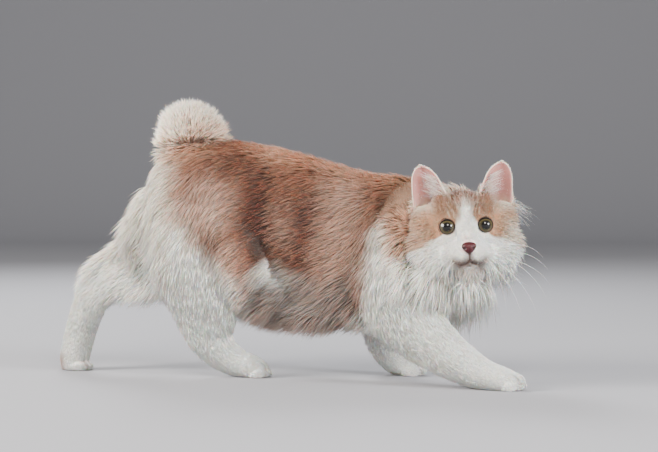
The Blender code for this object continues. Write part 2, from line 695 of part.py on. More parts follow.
def spread_out(points, count):
    """The indices of that many points, each as far from the others as it can be."""
    chosen = [0]
    away = np.linalg.norm(points - points[0], axis=1)
    while len(chosen) < min(count, len(points)):
        chosen.append(int(away.argmax()))
        away = np.minimum(away, np.linalg.norm(points - points[chosen[-1]], axis=1))
    return chosen


def lock(name, root, normal, way, fall, length, width):
    """A flat tapered lock of three sides that leaves its root and bends as it falls."""
    along = np.array([-lock_sunk / length, 0.30, 0.68, 1.0])[:, None]
    path = root + length * (along * way + 0.5 * along * np.abs(along) * fall)
    path[0] = root - normal * lock_sunk
    heading = normalised(np.gradient(path, axis=0))
    across = normalised(np.cross(heading, normal))
    up = np.cross(across, heading)
    points = []
    for k, (wide, thick) in enumerate(((0.85, 0.50), (1.0, 0.46), (0.68, 0.34))):
        for a, b in ((1, -0.5), (0, 1), (-1, -0.5)):
            points.append(path[k] + across[k] * a * wide * width + up[k] * b * thick * width)
    points.append(path[3])
    faces = [(2, 1, 0)]
    for r in (0, 3):
        for k in range(3):
            n = (k + 1) % 3
            faces.append((r + k, r + n, r + 3 + n, r + 3 + k))
    faces += [(6 + k, 6 + (k + 1) % 3, 9) for k in range(3)]
    made = mesh_object(name, points, faces)
    face_out(made)
    return made


def grown_locks(name, base, values, fences, rng, frame=None):
    """One group's locks over the base, each kept short of the cuts near it."""
    count, middle, sizes, way, spread, least, facing, length, width, lift, fall = values
    turn = np.array(frame.to_3x3()) if frame else np.eye(3)
    places, normals = surface_points(base, 60000, rng)
    shift = np.array(frame.translation) if frame else np.zeros(3)
    local, local_normals = (places - shift) @ turn, normals @ turn
    made = []
    for side in (1, -1) if frame else (1,):
        flip = np.array([1.0, side, 1.0])
        off = (local - np.array(middle) * flip) / sizes
        held = (off**2).sum(1) < 1
        held &= (local_normals @ normalised(np.array(facing, float) * flip)) > least
        if not held.any():
            print("no roots for", name)
            continue
        points, out = places[held], normals[held]
        for k in spread_out(points, count):
            own = (local[held][k] - np.array(middle) * flip) / sizes
            run = np.array(way) * flip + spread * own + rng.normal(0, 0.12, 3)
            run = turn @ run
            run = run - out[k] * (run @ out[k])
            run = run / max(np.linalg.norm(run), 1e-6)
            rise = math.radians(lift + rng.normal(0, 5))
            way_out = run * math.cos(rise) + out[k] * math.sin(rise)
            down = np.array([0.0, 0.0, -1.0]) * fall * 2 + rng.normal(0, 0.05, 3)
            reach = length * rng.uniform(0.82, 1.12)
            start = Vector(points[k])
            aim = Vector(way_out + 0.5 * down)
            for tree in fences:
                hit = tree.ray_cast(start, aim.normalized(), reach * aim.length + 0.004)
                if hit[0] is not None:
                    reach = min(reach, max(hit[3] - 0.003, 0.0) / aim.length)
            if reach > 0.5 * length:
                wide = width * rng.uniform(0.85, 1.15)
                made.append(lock(name, points[k], out[k], way_out, down, reach, wide))
    return made


def ear_locks(side, rng):
    """Tufts from the inner edge of an ear, up and across its mouth."""
    count, low, high, length = ear_tufts
    frame = head_matrix()
    flip = np.array([1.0, side, 1.0])
    made = []
    for rise in np.linspace(low, high, count):
        half = np.array(ear_half_base) * (1 - rise) + np.array(ear_half_top) * rise
        narrow = ear_taper(np.array(rise))
        root = np.array(ear_base) + (np.array(ear_tip) - np.array(ear_base)) * rise
        root = (root - half * narrow * 0.97) * flip
        way = normalised(np.array([0.22, 0.80, 0.62]) * flip + rng.normal(0, 0.06, 3))
        out = normalised(np.array([0.9, -0.5, 0.0]) * flip)
        turn = np.array(frame.to_3x3())
        place = turn @ root + np.array(frame.translation)
        made.append(lock("ear_tuft", place - turn @ way * 0.002, turn @ out, turn @ way,
                         np.zeros(3), length * rng.uniform(0.9, 1.1), 0.0042))
    return made


def parted(whole, cuts):
    """The nodes of coat and flesh, cut one from another."""
    pieces = {"torso": whole}
    for parent, child, cutter in cuts:
        part_off(pieces, parent, child, cutter)
    return pieces


def without_slivers(made):
    """Merges what the cuts left in one plane, where the surface stays closed."""
    for merge in (2e-5, 2e-6, 0.0):
        work = bmesh.new()
        work.from_mesh(made.data)
        if merge:
            bmesh.ops.remove_doubles(work, verts=work.verts, dist=merge)
        bmesh.ops.dissolve_limit(work, angle_limit=math.radians(1.0), verts=work.verts,
                                 edges=work.edges)
        bmesh.ops.triangulate(work, faces=work.faces)
        closed = all(len(edge.link_faces) == 2 for edge in work.edges)
        if closed:
            work.to_mesh(made.data)
        work.free()
        if closed:
            return
    print(made.name, "keeps its slivers")


def material(name, colour, roughness):
    """A Principled finish."""
    made = bpy.data.materials.new(name)
    made.use_nodes = True
    shader = made.node_tree.nodes["Principled BSDF"]
    shader.inputs["Base Color"].default_value = colour
    shader.inputs["Roughness"].default_value = roughness
    shader.inputs["Metallic"].default_value = 0.0
    made.diffuse_color = colour
    return made


def body_form():
    """Trunk, neck, limbs, tail and toes as one surface."""
    forms = [torso_form(), limb_form("neck", neck_rows), limb_form("tail", tail_rows)]
    for rows in (hind_right_rows, hind_left_rows, fore_right_rows, fore_left_rows):
        forms.append(limb_form("limb", rows))
    for name, (middle, sizes) in coat_lumps.items():
        forms.append(ellipsoid(name, middle, sizes))
    return fused("body", forms + toe_forms(), body_voxel, 8, body_faces)


def head_form():
    """Skull and face as one surface."""
    skull = fused("skull", lump_forms({**head_lumps, **ruff_lumps}), 0.0024, 24)
    return fused("face", [skull, *face_forms()], head_voxel, 5, head_faces)


def main():
    for old in list(bpy.data.objects):
        bpy.data.objects.remove(old)
    face = head_form()
    grooves = mouth_forms(face)
    sockets = [ellipsoid("socket", (0, 0, 0), (eye_radius + gap,) * 3, gaze(side), 16)
               for side in (1, -1)]
    boolean(face, "DIFFERENCE", [*sockets, nose_form(gap), *grooves])
    whole = body_form()
    fences = fence_trees()
    rng = np.random.default_rng(7)
    locks = []
    for name, values in body_locks.items():
        locks += grown_locks(name, whole, values, fences, rng)
    for name, values in head_locks.items():
        locks += grown_locks(name, face, values, fences, rng, head_matrix())
    for side in (1, -1):
        locks += ear_locks(side, rng)
    print("locks", len(locks))
    boolean(whole, "UNION", [face, ear_form(1), ear_form(-1), *locks])
    boolean(whole, "DIFFERENCE", [floor_block()])
    pieces = parted(whole, all_cuts())
    made = [(pieces[name], finish) for name, (_, _, finish) in nodes.items()]
    for name, side in (("eye_left", 1), ("eye_right", -1)):
        eye = ellipsoid(name, (0, 0, 0), (eye_radius,) * 3, gaze(side), 16)
        eye.name = name
        made.append((eye, "eye"))
    nose = nose_form()
    nose.name = "nose"
    nostrils = [ellipsoid("nostril", place, nostril_sizes, head_matrix(), 12)
                for place in mirrored(nostril_middle)]
    boolean(nose, "DIFFERENCE", nostrils)
    made.append((nose, "nose"))

    finishes = {
        "coat_white": material("White coat", coat_white, 0.85),
        "coat_red": material("Red coat", coat_red, 0.85),
        "coat_cream": material("Cream coat", coat_cream, 0.85),
        "nose": material("Nose leather", nose_pink, 0.5),
        "eye": material("Eye", eye_olive, 0.08),
    }
    cat = bpy.data.collections.new("Kurilian bobtail cat")
    bpy.context.scene.collection.children.link(cat)
    corners = np.array([vertex.co for piece, _ in made for vertex in piece.data.vertices])
    low, high = corners.min(0), corners.max(0)
    shift = Matrix.Translation((-(low[0] + high[0]) / 2, -(low[1] + high[1]) / 2, -low[2]))
    for piece, finish in made:
        without_slivers(piece)
        piece.data.transform(shift)
        piece.data.materials.clear()
        piece.data.materials.append(finishes[finish])
        piece.data.name = piece.name
        for holder in list(piece.users_collection):
            holder.objects.unlink(piece)
        cat.objects.link(piece)
        print(piece.name, len(piece.data.polygons), "triangles")
    print("shift", [round(v, 5) for v in shift.translation], "size", (high - low).round(4))


def joined(name, objects):
    """One object from several."""
    for other in bpy.context.selected_objects:
        other.select_set(False)
    for made in objects:
        made.select_set(True)
    bpy.context.view_layer.objects.active = objects[0]
    bpy.ops.object.join()
    whole = bpy.context.view_layer.objects.active
    whole.name = name
    return whole


def settle(made):
    """Applies the object's modifiers to its mesh."""
    graph = bpy.context.evaluated_depsgraph_get()
    mesh = bpy.data.meshes.new_from_object(made.evaluated_get(graph))
    made.modifiers.clear()
    made.data = mesh
    return made


def fused(name, objects, voxel, smoothing, faces=None):
    """One smooth closed surface round the objects, thinned to about that many triangles."""
    whole = joined(name, objects)
    remesh = whole.modifiers.new("fuse", "REMESH")
    remesh.mode = "VOXEL"
    remesh.voxel_size = voxel
    smooth = whole.modifiers.new("smooth", "SMOOTH")
    smooth.factor = 0.5
    smooth.iterations = smoothing
    settle(whole)
    if faces is None:
        return whole
    thin = whole.modifiers.new("thin", "DECIMATE")
    thin.ratio = min(1.0, faces / (2 * len(whole.data.polygons)))
    thin.use_collapse_triangulate = True
    settle(whole)
    return whole


if __name__ == "__main__":
    main()
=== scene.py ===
import bpy
import bmesh
import math
import numpy as np
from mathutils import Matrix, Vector, kdtree


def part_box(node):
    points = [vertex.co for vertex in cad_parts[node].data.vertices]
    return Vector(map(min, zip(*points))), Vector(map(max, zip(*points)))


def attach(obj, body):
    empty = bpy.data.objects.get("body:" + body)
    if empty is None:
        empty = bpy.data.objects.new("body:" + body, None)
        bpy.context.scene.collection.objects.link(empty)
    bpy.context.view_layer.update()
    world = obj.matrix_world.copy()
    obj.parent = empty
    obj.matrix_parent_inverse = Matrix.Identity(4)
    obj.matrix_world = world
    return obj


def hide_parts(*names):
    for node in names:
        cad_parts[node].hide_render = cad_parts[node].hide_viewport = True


# A kurilian bobtail cat in a long walking stride, looking to its right.
# Everything is worked out in the maker's own frame (the cat faces +X, the soles stand on
# soleLevel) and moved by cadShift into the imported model's frame as its mesh is made.

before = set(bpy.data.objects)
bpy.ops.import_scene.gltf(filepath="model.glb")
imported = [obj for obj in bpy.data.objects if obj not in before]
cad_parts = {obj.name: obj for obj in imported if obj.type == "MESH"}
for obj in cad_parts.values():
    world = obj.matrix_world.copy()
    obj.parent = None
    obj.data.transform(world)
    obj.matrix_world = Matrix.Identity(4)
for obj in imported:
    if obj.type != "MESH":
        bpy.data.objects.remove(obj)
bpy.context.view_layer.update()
rng = np.random.default_rng(21)  # every draw of the coat comes from this seed


def unit(v):
    # each row of v at length 1
    return v / np.maximum(np.linalg.norm(v, axis=-1, keepdims=True), 1e-12)


def smoothStep(low, high, value):
    # 0 below low, 1 above high, with the curve 3t^2 - 2t^3 between them
    t = np.clip((value - low) / (high - low), 0, 1)
    return t * t * (3 - 2 * t)


def throughRows(rows, steps):
    # Catmull-Rom curve through the rows: on each span a cubic whose slope at a row is
    # half the step between its neighbours
    p = np.array(rows, float)
    p = np.vstack([2 * p[0] - p[1], p, 2 * p[-1] - p[-2]])
    t = np.linspace(0, 1, steps, endpoint=False)[:, None]
    spans = [0.5 * (2 * b + (c - a) * t + (2 * a - 5 * b + 4 * c - d) * t**2
                    + (3 * b - a - 3 * c + d) * t**3) for a, b, c, d in zip(p, p[1:], p[2:], p[3:])]
    return np.vstack([*spans, p[-2]])


def waves(points, size, seed, count=9):
    # soft random field between about -1 and 1: a sum of plane waves of that size in metres
    own = np.random.default_rng(seed)
    ways = unit(own.normal(size=(count, 3))) * (2 * np.pi / size) * own.uniform(0.6, 1.5, (count, 1))
    return np.sin(points @ ways.T + own.uniform(0, 6.28, count)).sum(1) / math.sqrt(count / 2) * 0.6


def gridFaces(rows, columns, rowsMeet=False, columnsMeet=True):
    # quads of a grid of points, which may close on itself either way
    r, c = np.meshgrid(np.arange(rows - (not rowsMeet)), np.arange(columns - (not columnsMeet)),
                       indexing="ij")
    down, right = (r + 1) % rows * columns, (c + 1) % columns
    return np.stack([r * columns + c, r * columns + right, down + right, down + c], -1).reshape(-1, 4)


def closedTube(rings):
    # rings (R, S, 3) and their two poles as one closed surface: points, quads, triangles
    count, sides = rings.shape[:2]
    points = np.vstack([rings.reshape(-1, 3), rings[0].mean(0), rings[-1].mean(0)])
    k = np.arange(sides)
    n = (k + 1) % sides
    first, last = count * sides, count * sides + 1
    caps = np.vstack([np.stack([n, k, np.full(sides, first)], -1),
                      np.stack([k, n, np.full(sides, last)], -1) + [[(count - 1) * sides] * 2 + [0]]])
    return points, gridFaces(count, sides), caps


def tubeForm(middles, across, up, halfAcross, halfUp, sides=28, blunt=0.95):
    # profile carried along a path: ring = middle + up*halfUp*cos(a) + across*halfAcross*sin(a),
    # with a rounded cap of four rings past each end
    heading = unit(np.gradient(middles, axis=0))
    turn = np.linspace(0, 2 * np.pi, sides, endpoint=False)
    rings = (middles[:, None] + up[:, None] * halfUp[:, None, None] * np.cos(turn)[None, :, None]
             + across[:, None] * halfAcross[:, None, None] * np.sin(turn)[None, :, None])
    caps = np.radians([20, 42, 62, 80])
    ends = []
    for end, sign in ((0, -1), (-1, 1)):
        reach = min(halfAcross[end], halfUp[end]) * blunt
        cap = (middles[end] + (rings[end] - middles[end])[None] * np.cos(caps)[:, None, None]
               + sign * heading[end] * reach * np.sin(caps)[:, None, None])
        ends.append(cap)
    return closedTube(np.concatenate([ends[0][::-1], rings, ends[1]]))


def limbForm(rows, depths, steps=6):
    # limb from rows of x, y, z, half depth, half width, drawn in by the coat's depth
    rows = throughRows(rows, steps)
    inset = np.interp(np.linspace(0, 1, len(rows)), np.linspace(0, 1, len(depths)), depths)
    middles = rows[:, :3]
    heading = unit(np.gradient(middles, axis=0))
    level = np.tile([0.0, 1.0, 0.0], (len(rows), 1))
    across = unit(level - heading * (heading * level).sum(1, keepdims=True))
    return tubeForm(middles, across, np.cross(heading, across),
                    np.maximum(rows[:, 4] - inset, 0.004), np.maximum(rows[:, 3] - inset, 0.004))


def ballForm(middle, sizes, place=None, rows=20, columns=32):
    # ellipsoid: x = a cos(v) cos(u), y = b cos(v) sin(u), z = c sin(v)
    v = np.linspace(-np.pi / 2, np.pi / 2, rows + 2)[1:-1][:, None]
    u = np.linspace(0, 2 * np.pi, columns, endpoint=False)[None, :]
    ball = np.stack([np.cos(v) * np.cos(u), np.cos(v) * np.sin(u), np.sin(v) + 0 * u], -1)
    points, quads, caps = closedTube(ball)
    points[-2:] = [[0, 0, -1], [0, 0, 1]]
    points = points * np.array(sizes) + np.array(middle)
    return (points if place is None else place(points)), quads, caps


def ringForm(along, large, small, place, rows=40, columns=12):
    # torus square to x: (along + small sin(b), (large + small cos(b)) cos(a), ... sin(a))
    a = np.linspace(0, 2 * np.pi, rows, endpoint=False)[:, None]
    b = np.linspace(0, 2 * np.pi, columns, endpoint=False)[None, :]
    spread = large + small * np.cos(b)
    ring = np.stack([along + small * np.sin(b) + 0 * a, spread * np.cos(a), spread * np.sin(a)], -1)
    return place(ring.reshape(-1, 3)), gridFaces(rows, columns, True), np.zeros((0, 3), int)


def meshObject(name, points, *faceLists):
    # object from arrays of points and faces, its place in its mesh
    mesh = bpy.data.meshes.new(name)
    faces = [tuple(face) for rows in faceLists for face in np.asarray(rows).tolist()]
    mesh.from_pydata(np.asarray(points).tolist(), [], faces)
    made = bpy.data.objects.new(name, mesh)
    bpy.context.scene.collection.objects.link(made)
    return made


def sheetObject(name, grid):
    # open sheet through a grid of points (rows, columns, 3)
    return meshObject(name, grid.reshape(-1, 3), gridFaces(*grid.shape[:2], False, False))


def meshOfForms(name, forms):
    # several closed forms in one mesh, all facing out
    points, quads, caps, start = [], [], [], 0
    for p, q, c in forms:
        points.append(p)
        quads.append(q + start)
        caps.append(c + start)
        start += len(p)
    made = meshObject(name, np.vstack(points), np.vstack(quads), np.vstack(caps))
    faceOut(made)
    return made


def faceOut(made):
    # turns the faces of closed surfaces outwards
    work = bmesh.new()
    work.from_mesh(made.data)
    bmesh.ops.recalc_face_normals(work, faces=work.faces)
    work.to_mesh(made.data)
    work.free()


def addMesh(made, other):
    # moves the other object's mesh into this one
    work = bmesh.new()
    work.from_mesh(made.data)
    work.from_mesh(other.data)
    work.to_mesh(made.data)
    work.free()
    bpy.data.objects.remove(other)


def settle(made):
    # applies the modifiers
    graph = bpy.context.evaluated_depsgraph_get()
    mesh = bpy.data.meshes.new_from_object(made.evaluated_get(graph))
    made.modifiers.clear()
    made.data = mesh


def fuse(made, voxel, rounds):
    # one smooth closed surface round all the forms
    remesh = made.modifiers.new("fuse", "REMESH")
    remesh.mode = "VOXEL"
    remesh.voxel_size = voxel
    smooth = made.modifiers.new("smooth", "SMOOTH")
    smooth.factor = 0.5
    smooth.iterations = rounds
    settle(made)


def joinTo(made, others):
    # Boolean union of closed surfaces
    for other in others:
        step = made.modifiers.new("join", "BOOLEAN")
        step.operation = "UNION"
        step.solver = "MANIFOLD"
        step.object = other
    settle(made)
    for other in others:
        bpy.data.objects.remove(other)


def vectorsOf(made, key="co"):
    # the mesh's points, or with "normal" the way that its surface faces at each
    flat = np.empty(len(made.data.vertices) * 3, np.float32)
    made.data.vertices.foreach_get(key, flat)
    return flat.reshape(-1, 3).astype(float)


def setPoints(made, points):
    made.data.vertices.foreach_set("co", points.astype(np.float32).ravel())
    made.data.update()


def smoothFaces(made):
    made.data.polygons.foreach_set("use_smooth", np.ones(len(made.data.polygons), bool))


def storeColour(made, name, colours):
    # colour for each vertex
    layer = made.data.attributes.new(name, "FLOAT_COLOR", "POINT")
    full = np.ones((len(colours), 4), np.float32)
    full[:, :3] = colours
    layer.data.foreach_set("color", full.ravel())


def storeValue(made, name, values):
    # number for each vertex
    layer = made.data.attributes.new(name, "FLOAT", "POINT")
    layer.data.foreach_set("value", np.asarray(values, np.float32))


def linear(code):
    # sRGB hex to linear red, green, blue
    c = np.array([int(code[k:k + 2], 16) / 255 for k in (1, 3, 5)])
    return np.where(c <= 0.04045, c / 12.92, ((c + 0.055) / 1.055) ** 2.4)


soleLevel = 0.0032  # height of the soles in the maker's frame, metres as all lengths here

torso = {
    "rows": [  # x, y, top, bottom, half width
        (-0.224, 0.000, 0.272, 0.205, 0.024), (-0.212, 0.000, 0.288, 0.165, 0.044),
        (-0.190, 0.000, 0.299, 0.135, 0.056), (-0.155, 0.002, 0.3045, 0.112, 0.063),
        (-0.120, 0.004, 0.3025, 0.096, 0.067), (-0.080, 0.006, 0.2965, 0.086, 0.071),
        (-0.030, 0.007, 0.2850, 0.078, 0.075), (0.020, 0.006, 0.2705, 0.072, 0.076),
        (0.068, 0.002, 0.2590, 0.067, 0.070), (0.108, -0.004, 0.2560, 0.073, 0.064),
        (0.142, -0.010, 0.2500, 0.090, 0.056), (0.168, -0.014, 0.2330, 0.112, 0.043),
        (0.182, -0.016, 0.2050, 0.135, 0.026)],
    "coatDepth": 0.0075,  # the rows reach to the tips of the coat, the skin lies this far in
}
limbs = {  # x, y, z, half depth, half width; the coat's depth from root to toes
    "neck": ([(0.085, -0.004, 0.180, 0.062, 0.058), (0.118, -0.008, 0.184, 0.062, 0.056),
              (0.148, -0.016, 0.189, 0.059, 0.052), (0.170, -0.030, 0.193, 0.053, 0.048),
              (0.181, -0.045, 0.195, 0.046, 0.044)], [0.009, 0.009]),
    "hindRight": ([(-0.150, -0.026, 0.235, 0.052, 0.030), (-0.151, -0.036, 0.195, 0.060, 0.038),
                   (-0.150, -0.043, 0.150, 0.061, 0.038), (-0.148, -0.044, 0.112, 0.055, 0.033),
                   (-0.146, -0.041, 0.080, 0.045, 0.026), (-0.142, -0.037, 0.055, 0.034, 0.021),
                   (-0.128, -0.033, 0.035, 0.025, 0.019), (-0.109, -0.029, 0.022, 0.0195, 0.0195),
                   (-0.093, -0.026, 0.017, 0.0165, 0.0215), (-0.080, -0.025, 0.014, 0.012, 0.017)],
                  [0.007, 0.007, 0.007, 0.006, 0.005, 0.004, 0.0025, 0.0018, 0.0012, 0.001]),
    "hindLeft": ([(-0.165, 0.028, 0.228, 0.052, 0.030), (-0.192, 0.036, 0.190, 0.058, 0.038),
                  (-0.226, 0.037, 0.158, 0.055, 0.037), (-0.262, 0.033, 0.139, 0.046, 0.030),
                  (-0.294, 0.028, 0.126, 0.035, 0.024), (-0.317, 0.024, 0.105, 0.027, 0.021),
                  (-0.330, 0.020, 0.076, 0.0235, 0.019), (-0.338, 0.016, 0.046, 0.022, 0.018),
                  (-0.343, 0.013, 0.023, 0.021, 0.019), (-0.344, 0.011, 0.010, 0.018, 0.0185)],
                 [0.007, 0.008, 0.010, 0.0095, 0.007, 0.0045, 0.003, 0.0022, 0.0015, 0.0012]),
    "foreRight": ([(0.084, -0.034, 0.190, 0.048, 0.026), (0.091, -0.047, 0.145, 0.052, 0.031),
                   (0.107, -0.060, 0.103, 0.048, 0.030), (0.134, -0.074, 0.072, 0.040, 0.027),
                   (0.165, -0.087, 0.048, 0.032, 0.0245), (0.193, -0.096, 0.032, 0.026, 0.022),
                   (0.218, -0.102, 0.021, 0.0205, 0.0215), (0.241, -0.105, 0.0155, 0.0165, 0.0225),
                   (0.259, -0.106, 0.0125, 0.012, 0.017)],
                  [0.007, 0.007, 0.006, 0.005, 0.004, 0.003, 0.002, 0.0012, 0.001]),
    "foreLeft": ([(0.080, 0.030, 0.190, 0.044, 0.026), (0.073, 0.040, 0.135, 0.045, 0.029),
                  (0.067, 0.044, 0.090, 0.036, 0.025), (0.066, 0.043, 0.052, 0.026, 0.020),
                  (0.075, 0.041, 0.030, 0.0195, 0.0185), (0.090, 0.0395, 0.0175, 0.0165, 0.020),
                  (0.107, 0.0385, 0.013, 0.012, 0.017)],
                 [0.007, 0.006, 0.005, 0.0035, 0.002, 0.0012, 0.001]),
    "tail": ([(-0.192, 0.000, 0.270, 0.018, 0.019), (-0.197, 0.000, 0.296, 0.020, 0.022),
              (-0.191, 0.000, 0.314, 0.021, 0.024), (-0.177, 0.000, 0.321, 0.021, 0.025),
              (-0.162, 0.000, 0.319, 0.018, 0.022), (-0.152, 0.000, 0.312, 0.012, 0.016)],
             [0.004, 0.008, 0.009, 0.009, 0.008, 0.005]),
}
fullness = {  # flesh and undercoat that fill out the body: middle and half sizes
    "bib": ((0.160, -0.028, 0.152), (0.036, 0.038, 0.046)),
    "breeches": ((-0.215, 0.012, 0.216), (0.033, 0.034, 0.040)),
    "belly": ((-0.020, 0.003, 0.096), (0.084, 0.043, 0.022)),
    "nape": ((0.152, -0.012, 0.212), (0.050, 0.044, 0.028)),
    "neckRight": ((0.107, -0.036, 0.184), (0.033, 0.030, 0.037)),
    "throat": ((0.189, -0.060, 0.149), (0.025, 0.029, 0.035)),
    "ruffRight": ((0.156, -0.064, 0.142), (0.027, 0.026, 0.034)),
    "pompom": ((-0.1800, 0.000, 0.3140), (0.029, 0.027, 0.023)),
    "tailRoot": ((-0.197, 0.000, 0.283), (0.017, 0.022, 0.032)),
    "breechesLow": ((-0.234, 0.019, 0.192), (0.026, 0.030, 0.036)),
    "rightFold": ((-0.080, -0.028, 0.123), (0.054, 0.028, 0.036)),
    "rightStifle": ((-0.100, -0.044, 0.152), (0.044, 0.031, 0.054)),
    "leftStifle": ((-0.140, 0.042, 0.168), (0.044, 0.029, 0.050)),
    "leftFold": ((-0.125, 0.030, 0.130), (0.054, 0.026, 0.038)),
}
toes = {  # half sizes and width of a toe; each foot's middle, the way it points and its spread
    "half": (0.0118, 0.0066, 0.0078), "width": 0.0072,
    "feet": {"foreRight": ((0.252, -0.106, 0.0095), -14.0, 0.034),
             "foreLeft": ((0.104, 0.0385, 0.0095), -3.0, 0.033),
             "hindRight": ((-0.084, -0.025, 0.0095), 4.0, 0.033),
             "hindLeft": ((-0.337, 0.011, 0.0085), 3.0, 0.031)},
}
head = {  # x out of the face, y to the cat's left, z up, from the midpoint of the eyes
    "place": (0.197, -0.100, 0.1995), "turn": -76.5, "pitch": 1.6, "roll": 3.0,
    "skull": {"cranium": ((-0.047, 0.0, 0.003), (0.040, 0.046, 0.036)),
              "forehead": ((-0.027, 0.0, 0.006), (0.028, 0.037, 0.028)),
              "face": ((-0.029, 0.0, -0.012), (0.0297, 0.050, 0.033)),
              "cheek": ((-0.040, 0.033, -0.022), (0.032, 0.030, 0.030)),
              "jaw": ((-0.024, 0.0, -0.038), (0.034, 0.046, 0.022)),
              "snout": ((0.000, 0.0, -0.034), (0.0255, 0.0290, 0.0185)),
              "crown": ((-0.039, 0.0, 0.012), (0.029, 0.034, 0.029)),
              "earFoot": ((-0.031, 0.022, 0.025), (0.016, 0.015, 0.014)),
              "earRoot": ((-0.036, 0.044, 0.008), (0.020, 0.018, 0.020))},
    "face": {"whiskerPad": ((0.0105, 0.0114, -0.0358), (0.0160, 0.0150, 0.0116)),
             "chin": ((0.0070, 0.0, -0.0520), (0.0130, 0.0125, 0.0082))},
    "bridge": [(-0.019, 0.0, 0.018, 0.0110, 0.0170), (-0.0075, 0.0, 0.0055, 0.0120, 0.0142),
               (0.0035, 0.0, -0.008, 0.0120, 0.0118), (0.0120, 0.0, -0.0195, 0.0100, 0.0108),
               (0.0170, 0.0, -0.0275, 0.0085, 0.0104)],
}
# mouth, eyes and ears lie in the head's frame too
mouth = {"line": [(0.0, -0.0330), (0.0, -0.0410), (0.0045, -0.0445), (0.0095, -0.0456),
                  (0.0145, -0.0440), (0.0190, -0.0408)], "width": 0.0018, "depth": 0.0026}
eyes = {"radius": 0.0117, "opening": 0.0087, "middle": (-0.0090, 0.0222, 0.0), "outward": 7.0,
        "lid": 0.0014, "lidDepth": 0.0016}
ears = {"base": (-0.031, 0.0390, 0.0240), "tip": (-0.030, 0.0490, 0.0750),
        "halfBase": (-0.0060, 0.0200, -0.0120), "halfTop": (-0.0020, 0.0205, 0.0),
        "sunk": -0.25, "bulge": 0.0170, "thick": 0.0020}
earBase = np.array(ears["base"])
earStem = np.array(ears["tip"]) - earBase


def turnMatrix(degrees, axis):
    a = math.radians(degrees)
    c, s = math.cos(a), math.sin(a)
    return np.array({"x": [[1, 0, 0], [0, c, -s], [0, s, c]],
                     "y": [[c, 0, s], [0, 1, 0], [-s, 0, c]],
                     "z": [[c, -s, 0], [s, c, 0], [0, 0, 1]]}[axis])


headTurn = (turnMatrix(head["turn"], "z") @ turnMatrix(-head["pitch"], "y")
            @ turnMatrix(head["roll"], "x"))
headPlace = np.array(head["place"])


def toBody(points):
    # from the head's frame to the body's
    return np.asarray(points) @ headTurn.T + headPlace


def toHead(points):
    return (np.asarray(points) - headPlace) @ headTurn


def headDistance(h):
    # distance from the middle of the skull
    return np.sqrt((h[:, 0] + 0.035) ** 2 + h[:, 1] ** 2 + (h[:, 2] + 0.008) ** 2)


def inEye(h, side):
    # from the head's frame to an eye's own, x out of the pupil
    return (h - np.array(eyes["middle"]) * [1, side, 1]) @ turnMatrix(side * eyes["outward"], "z")


def eyePlace(side):
    # from an eye's own frame, x out of the pupil, to the body's
    turned = turnMatrix(side * eyes["outward"], "z")
    middle = np.array(eyes["middle"]) * [1, side, 1]
    return lambda points: toBody(np.asarray(points) @ turned.T + middle)


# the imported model's frame starts elsewhere: its two eyes give the shift
eyeMiddles = np.mean([np.mean(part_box(node), axis=0) for node in ("eye_left", "eye_right")], axis=0)
cadShift = eyeMiddles - toBody([[eyes["middle"][0], 0, eyes["middle"][2]]])[0]
print("shift to the packed frame", cadShift.round(5))


def newMaterial(name):
    made = bpy.data.materials.new(name)
    made.use_nodes = True
    return made, made.node_tree.nodes["Principled BSDF"]


def addNode(material, kind, settings=None, links=None):
    # adds a node, sets its properties and input values, and links its inputs
    node = material.node_tree.nodes.new(kind)
    for key, value in (settings or {}).items():
        if isinstance(key, int) or key in node.inputs:
            node.inputs[key].default_value = value
        else:
            setattr(node, key, value)
    for key, source in (links or {}).items():
        material.node_tree.links.new(source, node.inputs[key])
    return node


def setInputs(shader, values):
    for key, value in values.items():
        shader.inputs[key].default_value = value


def furMaterial(name, bumpSize):
    # cat hair: dry keratin with a soft broad gloss, its colour from the markings and painted shade held in
    # the mesh, and light and dark in spots of about 2.4 mm, as wide as a lock of hair
    made, shader = newMaterial(name)
    tint = addNode(made, "ShaderNodeAttribute", {"attribute_name": "coatTint"})
    place = addNode(made, "ShaderNodeTexCoord")
    fine = addNode(made, "ShaderNodeTexNoise", {"Scale": 420.0, "Detail": 2.0},
                   {"Vector": place.outputs["Object"]})
    shade = addNode(made, "ShaderNodeMapRange", {"To Min": 0.90, "To Max": 1.08},
                    {"Value": fine.outputs["Fac"]})
    mixed = addNode(made, "ShaderNodeVectorMath", {"operation": "MULTIPLY"},
                    {0: tint.outputs["Color"], 1: shade.outputs["Result"]})
    made.node_tree.links.new(mixed.outputs["Vector"], shader.inputs["Base Color"])
    setInputs(shader, {"Roughness": 0.62, "IOR": 1.55, "Specular IOR Level": 0.22, "Sheen Weight": 0.08,
                       "Sheen Roughness": 0.5, "Subsurface Weight": 0.4, "Subsurface Scale": 0.002})
    if bumpSize:
        bump = addNode(made, "ShaderNodeBump", {"Strength": 0.35, "Distance": bumpSize},
                       {"Height": fine.outputs["Fac"]})
        made.node_tree.links.new(bump.outputs["Normal"], shader.inputs["Normal"])
    return made


furFinish = furMaterial("Cat hair", 0)
skinFinish = furMaterial("Skin under short hair", 0.0006)


def finishPiece(made, material, nodes=()):
    made.data.materials.clear()
    made.data.materials.append(material)
    setPoints(made, vectorsOf(made) + cadShift)
    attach(made, "root")
    if nodes:
        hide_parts(*nodes)
